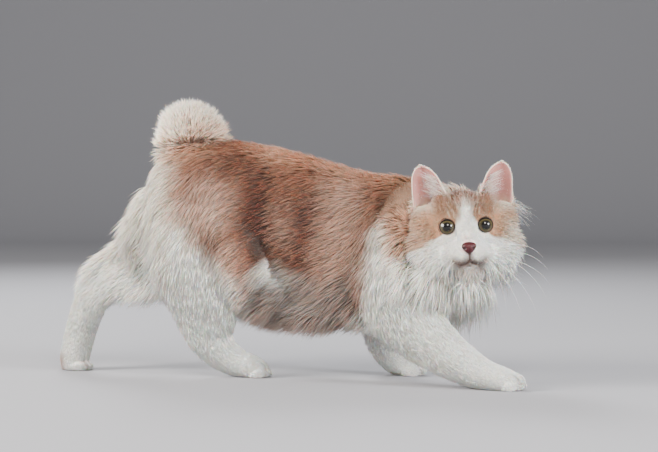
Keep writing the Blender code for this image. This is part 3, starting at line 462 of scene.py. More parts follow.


# the markings, with painted shade on the belly, round the mouth and between the toes: the same formula
# colours the skin and every tuft
tones = {name: linear(code) for name, code in {
    "white": "#F9F0E7", "warmWhite": "#F4E7D8", "cream": "#AF8971", "palePink": "#B79888",
    "flankPink": "#9D8070", "saddle": "#7D5743", "dark": "#2C180F", "orange": "#87634B",
    "crown": "#6F4F3B", "eyeCream": "#A67754", "earPink": "#BE8780", "rim": "#33231E",
    "lip": "#57453F", "paintedShadeGrey": "#A89B97", "paintedBellyShade": "#877D77",
}.items()}
whiteBorder = np.array([  # on either flank, all below this line is white: x, z
    (-0.300, 0.420), (-0.226, 0.330), (-0.213, 0.285), (-0.203, 0.250), (-0.1945, 0.229),
    (-0.172, 0.200), (-0.148, 0.172), (-0.1156, 0.141), (-0.083, 0.121), (-0.066, 0.147),
    (-0.050, 0.150), (-0.012, 0.124), (0.007, 0.102), (0.032, 0.084), (0.052, 0.088),
    (0.063, 0.112), (0.069, 0.165), (0.076, 0.200), (0.084, 0.209), (0.0905, 0.200),
    (0.098, 0.177), (0.110, 0.156), (0.125, 0.149), (0.145, 0.151), (0.160, 0.166),
    (0.180, 0.192), (0.300, 0.225)])
flankMarks = {  # tone, share, middle x and z, half sizes, softness and tilt in degrees
    "pale": [("palePink", 0.90, (-0.150, 0.215), (0.046, 0.050), 0.45, -25),
             ("palePink", 0.75, (-0.102, 0.160), (0.028, 0.022), 0.5, -30),
             ("flankPink", 0.95, (0.032, 0.166), (0.040, 0.108), 0.45, 0)],
    "bands": [("dark", 0.97, (-0.066, 0.206), (0.030, 0.062), 0.55, 6),
              ("dark", 0.97, (-0.013, 0.190), (0.023, 0.064), 0.55, -4),
              ("dark", 0.60, (-0.100, 0.272), (0.050, 0.018), 0.6, -8),
              ("dark", 0.45, (-0.131, 0.182), (0.018, 0.012), 0.6, -40),
              ("flankPink", 0.50, (-0.038, 0.200), (0.011, 0.034), 0.7, 4),
              # pale spot on top of the back: a painted highlight
              ("cream", 0.55, (-0.058, 0.2860), (0.024, 0.009), 0.6, -15),
              ("crown", 0.60, (0.112, 0.232), (0.030, 0.024), 0.5, 0),
              ("dark", 0.42, (0.080, 0.236), (0.016, 0.018), 0.6, 0),
              ("cream", 0.90, (0.128, 0.196), (0.040, 0.042), 0.5, 0)],
}
blaze = {  # half width of the white on the face at each height
    "heights": [-0.060, -0.034, -0.026, -0.018, -0.010, 0.000, 0.012, 0.022, 0.032],
    "widths": [0.120, 0.090, 0.060, 0.043, 0.030, 0.0130, 0.0085, 0.0045, -0.004],
}


def over(colour, tone, share):
    # the colour with a share of the tone laid over it
    share = np.clip(share, 0, 1)[:, None]
    return colour * (1 - share) + tone * share


def painted(count, base, layers):
    # layers of tone and share, each laid over those before it
    colour = np.tile(tones[base], (count, 1))
    for name, share in layers:
        colour = over(colour, tones[name], share)
    return colour


def patch(p, middle, sizes, soft=0.5, tilt=0.0):
    # 1 inside an ellipse on the flank, falling to 0 over the soft share of its size
    c, s = math.cos(math.radians(tilt)), math.sin(math.radians(tilt))
    dx, dz = p[:, 0] - middle[0], p[:, 2] - middle[1]
    far = np.hypot((dx * c + dz * s) / sizes[0], (dz * c - dx * s) / sizes[1])
    return 1 - smoothStep(1 - soft, 1 + soft, far)


def belowBorder(q):
    # distance under the white border in side view, negative above it
    x, z = q[:, :1], q[:, 2:]
    a, step = whiteBorder[:-1], np.diff(whiteBorder, axis=0)
    t = ((x - a[:, 0]) * step[:, 0] + (z - a[:, 1]) * step[:, 1]) / (step**2).sum(1)
    t = t.clip(0, 1)
    far = np.hypot(x - a[:, 0] - t * step[:, 0], z - a[:, 1] - t * step[:, 1]).min(1)
    return far * np.sign(np.interp(q[:, 0], whiteBorder[:, 0], whiteBorder[:, 1]) - q[:, 2])


def bodyTint(p):
    # red saddle over cream, white below, all with ragged edges; painted shade darkens the belly and low
    # flank, and a painted highlight lightens the top of the back
    ragged = waves(p, 0.030, 3) * 0.0045 + waves(p, 0.011, 4) * 0.0025
    q = p + np.stack([ragged, 0 * ragged, waves(p, 0.026, 5) * 0.005], -1)
    pale, bands = [[(name, share * patch(q, *place)) for name, share, *place in flankMarks[key]]
                   for key in ("pale", "bands")]
    ridge = (smoothStep(0.262, 0.284, q[:, 2] + 0.22 * (q[:, 0] + 0.02))
             * smoothStep(-0.090, -0.045, q[:, 0]))
    rear = smoothStep(-0.178, -0.200, q[:, 0]) * smoothStep(0.12, 0.18, q[:, 2])
    # painted shade: the belly and low flank darkened where the body shades them
    belly = (smoothStep(0.152, 0.112, p[:, 2]) * smoothStep(-0.110, -0.085, p[:, 0])
             * smoothStep(0.058, 0.040, p[:, 0]) * smoothStep(0.055, 0.065, p[:, 2]))
    climb = 0.42 * np.clip(p[:, 0] + 0.150, 0, 0.04)
    tail = smoothStep(0.2985, 0.3035, p[:, 2] - climb) * smoothStep(-0.100, -0.120, p[:, 0])
    tailFront = smoothStep(-0.200, -0.165, p[:, 0]) * smoothStep(0.350, 0.322, p[:, 2])
    tailFoot = (patch(q, (-0.160, 0.2990), (0.028, 0.0060), 0.6)
                * smoothStep(-0.190, -0.175, p[:, 0]))
    heel = smoothStep(-0.349, -0.357, p[:, 0]) * smoothStep(0.034, 0.020, p[:, 2])
    return painted(len(p), "saddle", [
        *pale, ("orange", 0.80 * ridge), *bands,
        ("cream", 0.8 * smoothStep(-0.172, -0.190, q[:, 0])),
        ("white", smoothStep(-0.010, 0.010, belowBorder(q))),
        ("warmWhite", 0.80 * rear), ("paintedBellyShade", 0.92 * belly),
        ("cream", 0.75 * patch(q, (-0.182, 0.291), (0.034, 0.014), 0.6)),
        ("warmWhite", tail), ("cream", 0.62 * tail * tailFront), ("orange", 0.45 * tailFoot),
        ("earPink", 0.6 * heel)])


def headTint(h):
    # cream face with a white blaze, muzzle and chin, painted shade round the mouth and under the whisker
    # pads, and paler cheeks partly painted light; h is in the head's frame
    ragged = waves(h, 0.012, 8) * 0.0016 + waves(h, 0.030, 9) * 0.002
    y, z = np.abs(h[:, 1]) + ragged, h[:, 2] + waves(h, 0.016, 10) * 0.0015
    aroundEye = (smoothStep(0.032, 0.012, np.hypot(y - 0.026, (z - 0.004) * 0.8))
                 * smoothStep(-0.045, -0.02, h[:, 0]))
    crown = ((0.55 + 0.40 * smoothStep(0.018, 0.034, z)) * smoothStep(0.002, 0.016, z)
             * smoothStep(0.046, 0.022, y))
    temple = (smoothStep(0.070, 0.060, y) * smoothStep(-0.062, -0.048, h[:, 0])
              * smoothStep(0.010, 0.028, z) * smoothStep(0.030, 0.044, y))
    # pale outer cheeks, the cat's left much paler: pale hair plus painted light on the lit side
    cheek = (np.where(h[:, 1] > 0, 0.55, 0.12) * smoothStep(0.042, 0.056, y)
             * smoothStep(0.012, -0.008, z))
    stripe = np.sin(y * 1050 - z * 240 + waves(h, 0.020, 13) * 1.5) * smoothStep(0.004, 0.016, z)
    stripe = stripe * smoothStep(0.030, 0.014, y) * (0.75 + 0.5 * waves(h, 0.009, 14))
    feather = 0.003 + 0.004 * smoothStep(0.002, 0.022, z) + 0.004 * smoothStep(-0.008, -0.022, z)
    white = smoothStep(-1, 1, (np.interp(z, blaze["heights"], blaze["widths"]) - y) / feather)
    back = smoothStep(-0.040, -0.070, h[:, 0]) * smoothStep(-0.030, -0.005, z)
    # painted shade under the whisker pads, round the mouth
    muzzle = (smoothStep(0.026, 0.010, y) * smoothStep(-0.062, -0.050, z)
              * smoothStep(-0.034, -0.044, z) * (h[:, 0] > 0))
    aboveNose = (smoothStep(0.009, 0.003, y) * smoothStep(-0.010, -0.018, z)
                 * smoothStep(-0.034, -0.028, z))
    # painted shade in a soft band along the mouth line, on skin and fur
    lips = smoothStep(0.0085, 0.0010, mouthGap(h)) * (1 - 0.4 * smoothStep(0.010, 0.022, y))
    rise, across, near = earShare(h)
    earEdge = (near * smoothStep(0.72, 0.92, across) * smoothStep(1.35, 1.10, across)
               * smoothStep(0.15, 0.35, rise))
    return painted(len(h), "cream", [
        ("eyeCream", 0.65 * aroundEye), ("crown", crown), ("warmWhite", 0.50 * temple),
        ("warmWhite", cheek), ("dark", 0.38 * smoothStep(0.0, 0.9, stripe)),
        ("warmWhite", 0.32 * smoothStep(0.0, 0.9, -stripe) * smoothStep(0.042, 0.030, z)),
        ("white", white * (1 - back)), ("crown", 0.5 * back * smoothStep(0.0, 0.03, z)),
        ("paintedShadeGrey", 0.85 * muzzle), ("earPink", 0.40 * aboveNose), ("lip", 0.70 * lips),
        ("warmWhite", earEdge), ("warmWhite", near * smoothStep(0.74, 0.88, rise))])


def mouthGap(h):
    # distance in front view from the line of the mouth, 1 far from it
    line = throughRows([(y, z, 0.0) for y, z in mouth["line"]], 8)[:, :2]
    near = (h[:, 0] > 0.002) & (np.abs(h[:, 1]) < 0.032) & (h[:, 2] < -0.02) & (h[:, 2] > -0.062)
    far = np.full(len(h), 1.0)
    far[near] = np.hypot(np.abs(h[near][:, 1:2]) - line[:, 0], h[near][:, 2:3] - line[:, 1]).min(1)
    return far


def earTaper(up):
    # width that is left up the ear, with a round tip
    tip = ((up.clip(0.62) - 0.62) / 0.381) ** 2.6
    return (1 - 0.42 * up**1.3) * np.sqrt(np.clip(1 - tip, 0.0004, 1))


def earHalf(up):
    # vector from the middle of the ear to its edge, before the taper
    return np.array(ears["halfBase"]) * (1 - up) + np.array(ears["halfTop"]) * up


def earShare(h):
    # height up the nearer ear, place across it (1 on either edge) and 1 close to it
    own = h * [1, 0, 1] + np.abs(h) * [0, 1, 0] - earBase
    rise = own @ earStem / (earStem @ earStem)
    up = np.clip(rise, 0, 1)[:, None]
    half = earHalf(up) * earTaper(up)
    across = np.abs(((own - earStem * up) * half).sum(1) / (half * half).sum(1))
    return rise, across, smoothStep(0.040, 0.034, np.linalg.norm(own - up * earStem, axis=1))


def tailRoots(p):
    # 1 where the pompom's hair grows, lower behind the tail than in front of it
    z = p[:, 2] + 0.008 * smoothStep(-0.185, -0.205, p[:, 0])
    return smoothStep(0.296, 0.306, z) * smoothStep(-0.140, -0.152, p[:, 0])


def toeGaps(points):
    # 1 in the three grooves between the toes of each foot
    groove = np.zeros(len(points))
    for middle, turn, spread in toes["feet"].values():
        q = (points - np.array(middle)) @ turnMatrix(turn, "z")
        gap = (spread - toes["width"]) / 3
        off = np.abs(q[:, 1:2] - np.array([[-gap, 0.0, gap]])).min(1)
        groove = np.maximum(groove, np.exp(-(off / 0.0011) ** 2) * smoothStep(-0.004, 0.002, q[:, 0])
                            * (np.abs(q[:, 0]) < 0.03) * smoothStep(0.016, 0.010, np.abs(q[:, 2])))
    return groove


def coatTint(points):
    # head and body formulas, blended where the neck begins, with painted shade in the grooves between the
    # toes
    h = toHead(points)
    rise, _, near = earShare(h)
    share = np.maximum(smoothStep(0.104, 0.074, headDistance(h)), near * smoothStep(0.25, 0.5, rise))
    colour = over(bodyTint(points), headTint(h), share)
    nape = patch(points, (0.178, 0.250), (0.040, 0.024), 0.6) * smoothStep(-0.046, -0.066, h[:, 0])
    colour = over(colour, tones["warmWhite"], 0.5 * nape)
    # the grooves between the toes darkened as painted shade
    return over(colour, tones["paintedShadeGrey"] * 0.4, 0.72 * toeGaps(points))


def torsoForm():
    rows = throughRows(torso["rows"], 6)
    inset = torso["coatDepth"]
    top, bottom = rows[:, 2] - 0.35 * inset, rows[:, 3] + inset
    middles = np.column_stack([rows[:, 0], rows[:, 1], (top + bottom) / 2])
    across = np.tile([0.0, 1.0, 0.0], (len(rows), 1))
    up = np.tile([0.0, 0.0, 1.0], (len(rows), 1))
    return tubeForm(middles, across, up, rows[:, 4] - inset, (top - bottom) / 2, 36, 0.3)


def toeForms():
    # four toes across the front of each foot
    made = []
    for middle, turn, spread in toes["feet"].values():
        facing = turnMatrix(turn, "z")
        for place, forward in zip((-0.5, -0.17, 0.17, 0.5), (0.0, 0.0055, 0.0055, 0.0)):
            at = np.array([forward, place * (spread - toes["width"]), 0.0])
            points, quads, caps = ballForm(at, toes["half"], None, 14, 20)
            made.append((points @ facing.T + np.array(middle), quads, caps))
    return made


def headLumps(lumps):
    # ellipsoids in the head's frame, those off its middle on both sides
    made = []
    for middle, sizes in lumps.values():
        for side in ((1, -1) if middle[1] else (1,)):
            made.append(ballForm(np.array(middle) * [1, side, 1], sizes, toBody, 28, 44))
    return made


def faceForms():
    # whisker pads, chin, bridge of the nose and eyelids
    points, quads, caps = limbForm(head["bridge"], [0.0, 0.0])
    made = headLumps(head["face"]) + [(toBody(points), quads, caps)]
    along = math.sqrt(eyes["radius"] ** 2 - eyes["opening"] ** 2) - eyes["lidDepth"]
    for side in (1, -1):
        made.append(ringForm(along, eyes["opening"] + 0.001, eyes["lid"], eyePlace(side)))
    return made


def earSheet(side, rows=26, columns=21):
    # bowed sheet: base + stem rise + half taper across - bulge (1 - across^2)
    across = np.linspace(-1, 1, columns)[None, :, None]
    rise = np.linspace(0, 1, rows)[:, None, None]
    rise = ears["sunk"] + (1 - ears["sunk"]) * np.sin(rise * np.pi / 2) ** 0.9
    up = rise.clip(0, 1)
    points = earBase + earStem * rise + earHalf(up) * earTaper(up) * across
    points = points - ears["bulge"] * (1 - up) ** 0.6 * (1 - across**2) * np.array([1.0, 0.25, 0.0])
    return points * np.array([1.0, side, 1.0])


def earObject(side):
    made = sheetObject("ear", toBody(earSheet(side)))
    wall = made.modifiers.new("wall", "SOLIDIFY")
    wall.thickness = ears["thick"]
    wall.offset = 0.0
    settle(made)
    faceOut(made)
    return made


def makeSkin():
    # lofted trunk and limbs fused, the finer head fused by itself, then joined with the ears
    trunk = meshOfForms("trunk", [torsoForm(), *[limbForm(*limbs[name]) for name in limbs],
                                  *[ballForm(*values) for values in fullness.values()]])
    fuse(trunk, 0.0032, 16)
    body = meshOfForms("skin", toeForms())
    addMesh(body, trunk)
    fuse(body, 0.0021, 4)
    skull = meshOfForms("skull", headLumps(head["skull"]))
    fuse(skull, 0.0022, 24)
    face = meshOfForms("face", faceForms())
    addMesh(face, skull)
    fuse(face, 0.00135, 6)
    grooveMouth(face)
    joinTo(body, [face, earObject(1), earObject(-1)])
    points = vectorsOf(body)
    points[:, 2] = np.maximum(points[:, 2], soleLevel + 0.0006)
    setPoints(body, points)
    smoothFaces(body)
    return body


def grooveMouth(face):
    # presses the skin in along the philtrum and lips: depth exp(-(distance / width)^2)
    h = toHead(vectorsOf(face))
    h[:, 0] -= mouth["depth"] * np.exp(-(mouthGap(h) / mouth["width"]) ** 2)
    setPoints(face, toBody(h))


def earInner(h, normals):
    # 1 on the hollow side of either ear; h and normals in the head's frame
    high = h[:, 2] + 0.35 * (np.abs(h[:, 1]) - 0.04) + waves(h, 0.010, 12) * 0.003
    return (smoothStep(0.022, 0.046, high) * earShare(h)[2] * smoothStep(0.25, 0.5, normals[:, 0])
            * smoothStep(0.020, 0.024, np.abs(h[:, 1])) * smoothStep(-0.012, -0.017, h[:, 0]))


def skinTint(points, normals):
    # markings, with bare pink in the ears, dark rims round the eyes and a dusky mouth line, darkened
    # further as painted shade in its groove
    h, hn = toHead(points), normals @ headTurn
    tint = over(coatTint(points), tones["earPink"], earInner(h, hn))
    for side in (1, -1):
        e = inEye(h, side)
        rim = smoothStep(0.0112, 0.0093, np.hypot(e[:, 1], e[:, 2] - 0.0003)) * (e[:, 0] > 0)
        tint = over(tint, tones["rim"], rim)
    corner = 1 - 0.5 * smoothStep(0.008, 0.020, np.abs(h[:, 1]))
    # dusky mouth colour plus painted shade along the mouth's groove
    return over(tint, tones["lip"], 0.75 * smoothStep(0.0028, 0.0008, mouthGap(h)) * corner)


skin = makeSkin()
storeColour(skin, "coatTint", skinTint(vectorsOf(skin), vectorsOf(skin, "normal")))
print("skin", len(skin.data.polygons), "faces")


def lightCopy(source, faces):
    # copy of so many faces that the tufts are rooted on and take their unwrap from
    made = source.copy()
    made.data = source.data.copy()
    made.name = "rootShape"
    bpy.context.scene.collection.objects.link(made)
    thin = made.modifiers.new("thin", "DECIMATE")
    thin.ratio = faces / (2 * len(source.data.polygons))
    thin.use_collapse_triangulate = True
    settle(made)
    bpy.context.view_layer.objects.active = made
    made.select_set(True)
    bpy.ops.object.mode_set(mode="EDIT")
    bpy.ops.mesh.select_all(action="SELECT")
    bpy.ops.uv.smart_project(angle_limit=math.radians(66), island_margin=0.004)
    bpy.ops.object.mode_set(mode="OBJECT")
    return made


def readRoots(shape):
    # corners of the triangles, the way they face, their unwrap and the areas
    shape.data.calc_loop_triangles()
    corners = {}
    for key in ("vertices", "loops"):
        corners[key] = np.empty(len(shape.data.loop_triangles) * 3, np.int32)
        shape.data.loop_triangles.foreach_get(key, corners[key])
    uv = np.empty(len(shape.data.loops) * 2, np.float32)
    shape.data.uv_layers.active.data.foreach_get("uv", uv)
    points, normals = [vectorsOf(shape, key)[corners["vertices"]].reshape(-1, 3, 3)
                       for key in ("co", "normal")]
    area = 0.5 * np.linalg.norm(np.cross(points[:, 1] - points[:, 0], points[:, 2] - points[:, 0]), axis=1)
    return points, normals, uv.reshape(-1, 2)[corners["loops"]].reshape(-1, 3, 2), area


rootShape = lightCopy(skin, 26000)
trianglePoints, triangleNormals, triangleUv, triangleArea = readRoots(rootShape)
bpy.data.objects.remove(rootShape)
print("root shape", len(trianglePoints), "triangles, skin area", round(triangleArea.sum(), 4), "m2")


def scatter(count, density):
    # count roots on the triangles, as many as area times density gives each
    share = triangleArea * density
    pick = rng.choice(len(share), count, p=share / share.sum())
    u, v = rng.random((2, count, 1))
    outside = u + v > 1
    u, v = np.where(outside, 1 - u, u), np.where(outside, 1 - v, v)
    weights = np.concatenate([1 - u - v, u, v], 1)[:, :, None]
    return ((trianglePoints[pick] * weights).sum(1), unit((triangleNormals[pick] * weights).sum(1)),
            (triangleUv[pick] * weights).sum(1))


groom = {  # from the root of each part to its end: length in metres and lift in degrees, and
    # whether the hair runs along the part, 1, or back along it, -1
    "torso": ((0.030, 0.028, 0.026, 0.026, 0.028, 0.030), (20, 17, 15, 16, 18, 20), -1),
    "neck": ((0.030, 0.034, 0.034), (20, 24, 26), -1),
    "hindRight": ((0.026, 0.024, 0.020, 0.016, 0.013, 0.010, 0.008, 0.006),
                  (16, 14, 12, 11, 10, 9, 9, 9), 1),
    "hindLeft": ((0.028, 0.028, 0.026, 0.020, 0.015, 0.011, 0.008, 0.006),
                 (20, 20, 18, 15, 13, 11, 10, 10), 1),
    "foreRight": ((0.028, 0.026, 0.020, 0.015, 0.012, 0.009, 0.007, 0.006),
                  (18, 18, 16, 14, 12, 11, 10, 10), 1),
    "foreLeft": ((0.028, 0.024, 0.018, 0.014, 0.010, 0.007, 0.006), (18, 17, 15, 13, 11, 10, 10), 1),
    "tail": ((0.018, 0.028, 0.040, 0.044, 0.040, 0.034), (20, 34, 52, 58, 58, 50), 1),
}


def partAxes():
    # middles along each part and its mean half width there
    axes = {}
    rows = throughRows(torso["rows"], 4)
    middles = np.column_stack([rows[:, 0], rows[:, 1], (rows[:, 2] + rows[:, 3]) / 2])
    axes["torso"] = (middles, np.sqrt(rows[:, 4] * (rows[:, 2] - rows[:, 3]) / 2))
    for name, (limbRows, _) in limbs.items():
        rows = throughRows(limbRows, 4)
        axes[name] = (rows[:, :3], np.sqrt(rows[:, 3] * rows[:, 4]))
    return axes


axes = partAxes()
noseTip = np.array([0.026, 0.0, -0.022])


def partField(p):
    # way of the hair, length and lift of each part, weighed by how near the parts are, the
    # nearest part and the share of torso and neck
    names = list(groom)
    far, ways, lengths, lifts = [], [], [], []
    for name in names:
        middles, radii = axes[name]
        gaps = np.linalg.norm(p[:, None] - middles[None], axis=2) / radii[None]
        k = gaps.argmin(1)
        far.append(gaps.min(1))
        lengthRow, liftRow, sign = groom[name]
        t = k / (len(middles) - 1)
        ways.append(unit(np.gradient(middles, axis=0))[k] * sign)
        lengths.append(np.interp(t, np.linspace(0, 1, len(lengthRow)), lengthRow))
        lifts.append(np.interp(t, np.linspace(0, 1, len(liftRow)), liftRow))
    far, lengths, lifts = np.array(far), np.array(lengths), np.array(lifts)
    weights = np.exp(-4.5 * (far - far.min(0)))
    weights /= weights.sum(0)
    way = (np.array(ways) * weights[:, :, None]).sum(0)
    trunk = weights[names.index("torso")] + weights[names.index("neck")]
    return (way, (lengths * weights).sum(0), (lifts * weights).sum(0),
            np.array(names)[far.argmin(0)], trunk)


def towards(way, aim, share):
    # the way turned by a share to another, one for all roots or one for each
    return way * (1 - share[:, None]) + share[:, None] * aim


def headField(h):
    # the head's hair runs away from the nose, short in front and long in the ruff
    zero, wide, z = 0 * h[:, 0], np.abs(h[:, 1]), h[:, 2]
    cheek = smoothStep(0.028, 0.050, wide) * smoothStep(0.020, -0.005, z)
    jaw = smoothStep(-0.034, -0.052, z) * smoothStep(0.014, -0.004, h[:, 0])
    way = unit(h - noseTip)
    way[:, 2] -= 0.35 * cheek + 0.3 * smoothStep(-0.02, -0.05, z)
    way = towards(way, np.stack([zero - 0.15, np.clip(h[:, 1] / 0.05, -1, 1) * 0.4, zero - 1], -1), jaw)
    way[:, 0] -= 0.5 * smoothStep(-0.005, -0.03, h[:, 0])
    length = np.interp(np.linalg.norm(h - noseTip, axis=1), [0.004, 0.012, 0.030, 0.050, 0.075, 0.100],
                       [0.003, 0.004, 0.0065, 0.011, 0.017, 0.022])
    ruff = (smoothStep(-0.010, -0.050, h[:, 0]) * smoothStep(0.030, 0.052, np.hypot(h[:, 1], z + 0.01))
            * smoothStep(0.025, 0.0, z))
    earFoot = (smoothStep(0.034, 0.046, wide) * smoothStep(0.000, 0.012, z)
               * smoothStep(0.036, 0.028, z) * smoothStep(-0.060, -0.045, h[:, 0]))
    way = towards(way, np.stack([zero - 0.5, np.sign(h[:, 1]), zero - 0.15], -1), earFoot)
    length = length + 0.014 * ruff + 0.012 * jaw
    temple = smoothStep(-0.012, 0.008, z) * smoothStep(0.028, 0.042, wide)
    length = length * (1 - 0.25 * temple) * (1 - 0.2 * earShare(h)[2])
    lift = (12 + 10 * cheek + 14 * ruff + 7 * jaw) * (1 - 0.2 * temple) + 4 * smoothStep(0.0, 0.01, h[:, 0])
    for side in (1, -1):
        e = h - np.array(eyes["middle"]) * [1, side, 1]
        near = np.hypot(e[:, 1], e[:, 2])
        length = length * (0.42 + 0.58 * smoothStep(0.011, 0.022, near))
        fromEye = unit(np.stack([zero, e[:, 1], e[:, 2]], -1))
        way = way + (1.3 * smoothStep(0.024, 0.012, near) * (h[:, 0] > -0.02))[:, None] * fromEye
    chin = smoothStep(-0.040, -0.056, z) * smoothStep(-0.03, 0.0, h[:, 0])
    length = (length + 0.005 * chin) * (0.45 + 0.55 * smoothStep(0.002, 0.009, mouthGap(h)))
    onEar = smoothStep(0.030, 0.040, z + 0.30 * (wide - 0.04)) * (headDistance(h) < 0.11)
    onEar = onEar * smoothStep(0.018, 0.024, wide)
    way = towards(way, unit(np.stack([zero - 0.1, np.sign(h[:, 1]) * 0.25, zero + 1], -1)), onEar)
    return way, length * (1 - onEar) + 0.0045 * onEar, lift * (1 - onEar) + 12 * onEar, onEar


def coatField(p, n):
    # way of the hair, length, lift, share of the head and nearest part at each root
    way, length, lift, part, trunk = partField(p)

    # flanks fall, the belly hangs back, the chest hangs straight down
    way[:, 2] -= 0.45 * smoothStep(0.20, 0.85, np.abs(n[:, 1])) * trunk
    lift = lift + 8 * smoothStep(0.6, 0.95, n[:, 2]) * trunk
    belly = smoothStep(0.30, 0.80, -n[:, 2]) * trunk * smoothStep(0.17, 0.12, p[:, 2])
    way += belly[:, None] * np.array([-0.2, 0.0, -0.7])
    length, lift = length + 0.006 * belly, lift + 16 * belly
    chest = (smoothStep(0.115, 0.150, p[:, 0]) * smoothStep(0.235, 0.200, p[:, 2])
             * smoothStep(-0.5, 0.2, n[:, 0]) * trunk)
    way = towards(way, np.array([0.05, -0.02, -1.0]), chest)
    length, lift = length + 0.003 * chest, lift - 6 * chest

    # breeches behind the thighs and under the rump stand out and hang
    rear = (smoothStep(-0.170, -0.215, p[:, 0]) * smoothStep(0.0, 0.6, -n[:, 0])
            * smoothStep(0.310, 0.290, p[:, 2]) * smoothStep(0.10, 0.15, p[:, 2]))
    low = rear * smoothStep(0.275, 0.205, p[:, 2])
    way = towards(way, np.array([-0.50, 0.0, -0.85]), rear)
    length, lift = length + 0.017 * low - 0.002 * (rear - low), lift + 19 * low
    under = (smoothStep(0.2, 0.8, -n[:, 2]) * smoothStep(-0.19, -0.22, p[:, 0])
             * smoothStep(0.09, 0.11, p[:, 2]))
    length, lift = length + 0.006 * under, lift + 18 * under

    # the pompom bursts out from the root of the tail
    tail = tailRoots(p)
    way = towards(way, unit(p - np.array([-0.185, 0.0, 0.266])), tail)
    length = length * (1 - tail) + tail * (0.031 - 0.004 * smoothStep(-0.178, -0.150, p[:, 0])
                                           - 0.009 * smoothStep(-0.200, -0.212, p[:, 0]))
    lift = lift * (1 - tail) + 52 * tail

    h = toHead(p)
    onHead = smoothStep(0.094, 0.080, headDistance(h)) * smoothStep(-0.082, -0.066, h[:, 0])
    headWay, headLength, headLift, onEar = headField(h)
    share = np.maximum(onHead, onEar)
    way = towards(way, headWay @ headTurn.T, share)
    length = length * (1 - share) + headLength * share
    return way, length, lift * (1 - share) + headLift * share, share, part


def densityField(p, n):
    # how thick the tufts stand: most on the face, none in the ears, the eyes or the nose
    h = toHead(p)
    _, length, _, onHead, _ = coatField(p, n)
    density = 1.0 / np.clip(length / 0.022, 0.16, 1.3) ** 1.1
    density *= 1 + 2.2 * tailRoots(p)
    density *= 1 + 0.5 * (length < 0.0125) * (1 - onHead)
    fromBib = np.linalg.norm(h - [-0.02, 0, -0.075], axis=1)
    density *= 1 + 0.9 * smoothStep(0.100, 0.070, fromBib) * smoothStep(-0.035, -0.050, h[:, 2])
    density *= 1 - earInner(h, n @ headTurn)
    for side in (1, -1):
        e = inEye(h, side)
        density *= np.maximum(smoothStep(0.0102, 0.0114, np.hypot(e[:, 1], e[:, 2])), e[:, 0] < -0.004)
    fromNose = np.linalg.norm((h - [0.0236, 0, -0.0252]) * [1, 0.95, 1.05], axis=1)
    density *= smoothStep(0.0075, 0.0095, fromNose) * smoothStep(0.0010, 0.0026, mouthGap(h))
    density *= smoothStep(soleLevel + 0.0012, soleLevel + 0.003, p[:, 2]) * (1 - 0.6 * toeGaps(p))
    return np.clip(density, 0, None)


coat = {
    "tufts": 148000, "quickTufts": 60000,
    "rings": 2, "triangles": 195000,  # rings of three corners to a tuft, most triangles to a piece
    "short": 0.0115,  # metres, under which the hair of a part is a piece of its own
    "spacing": 18, "pull": 0.19,  # tufts to a clump, and how far their tips close on each other
}


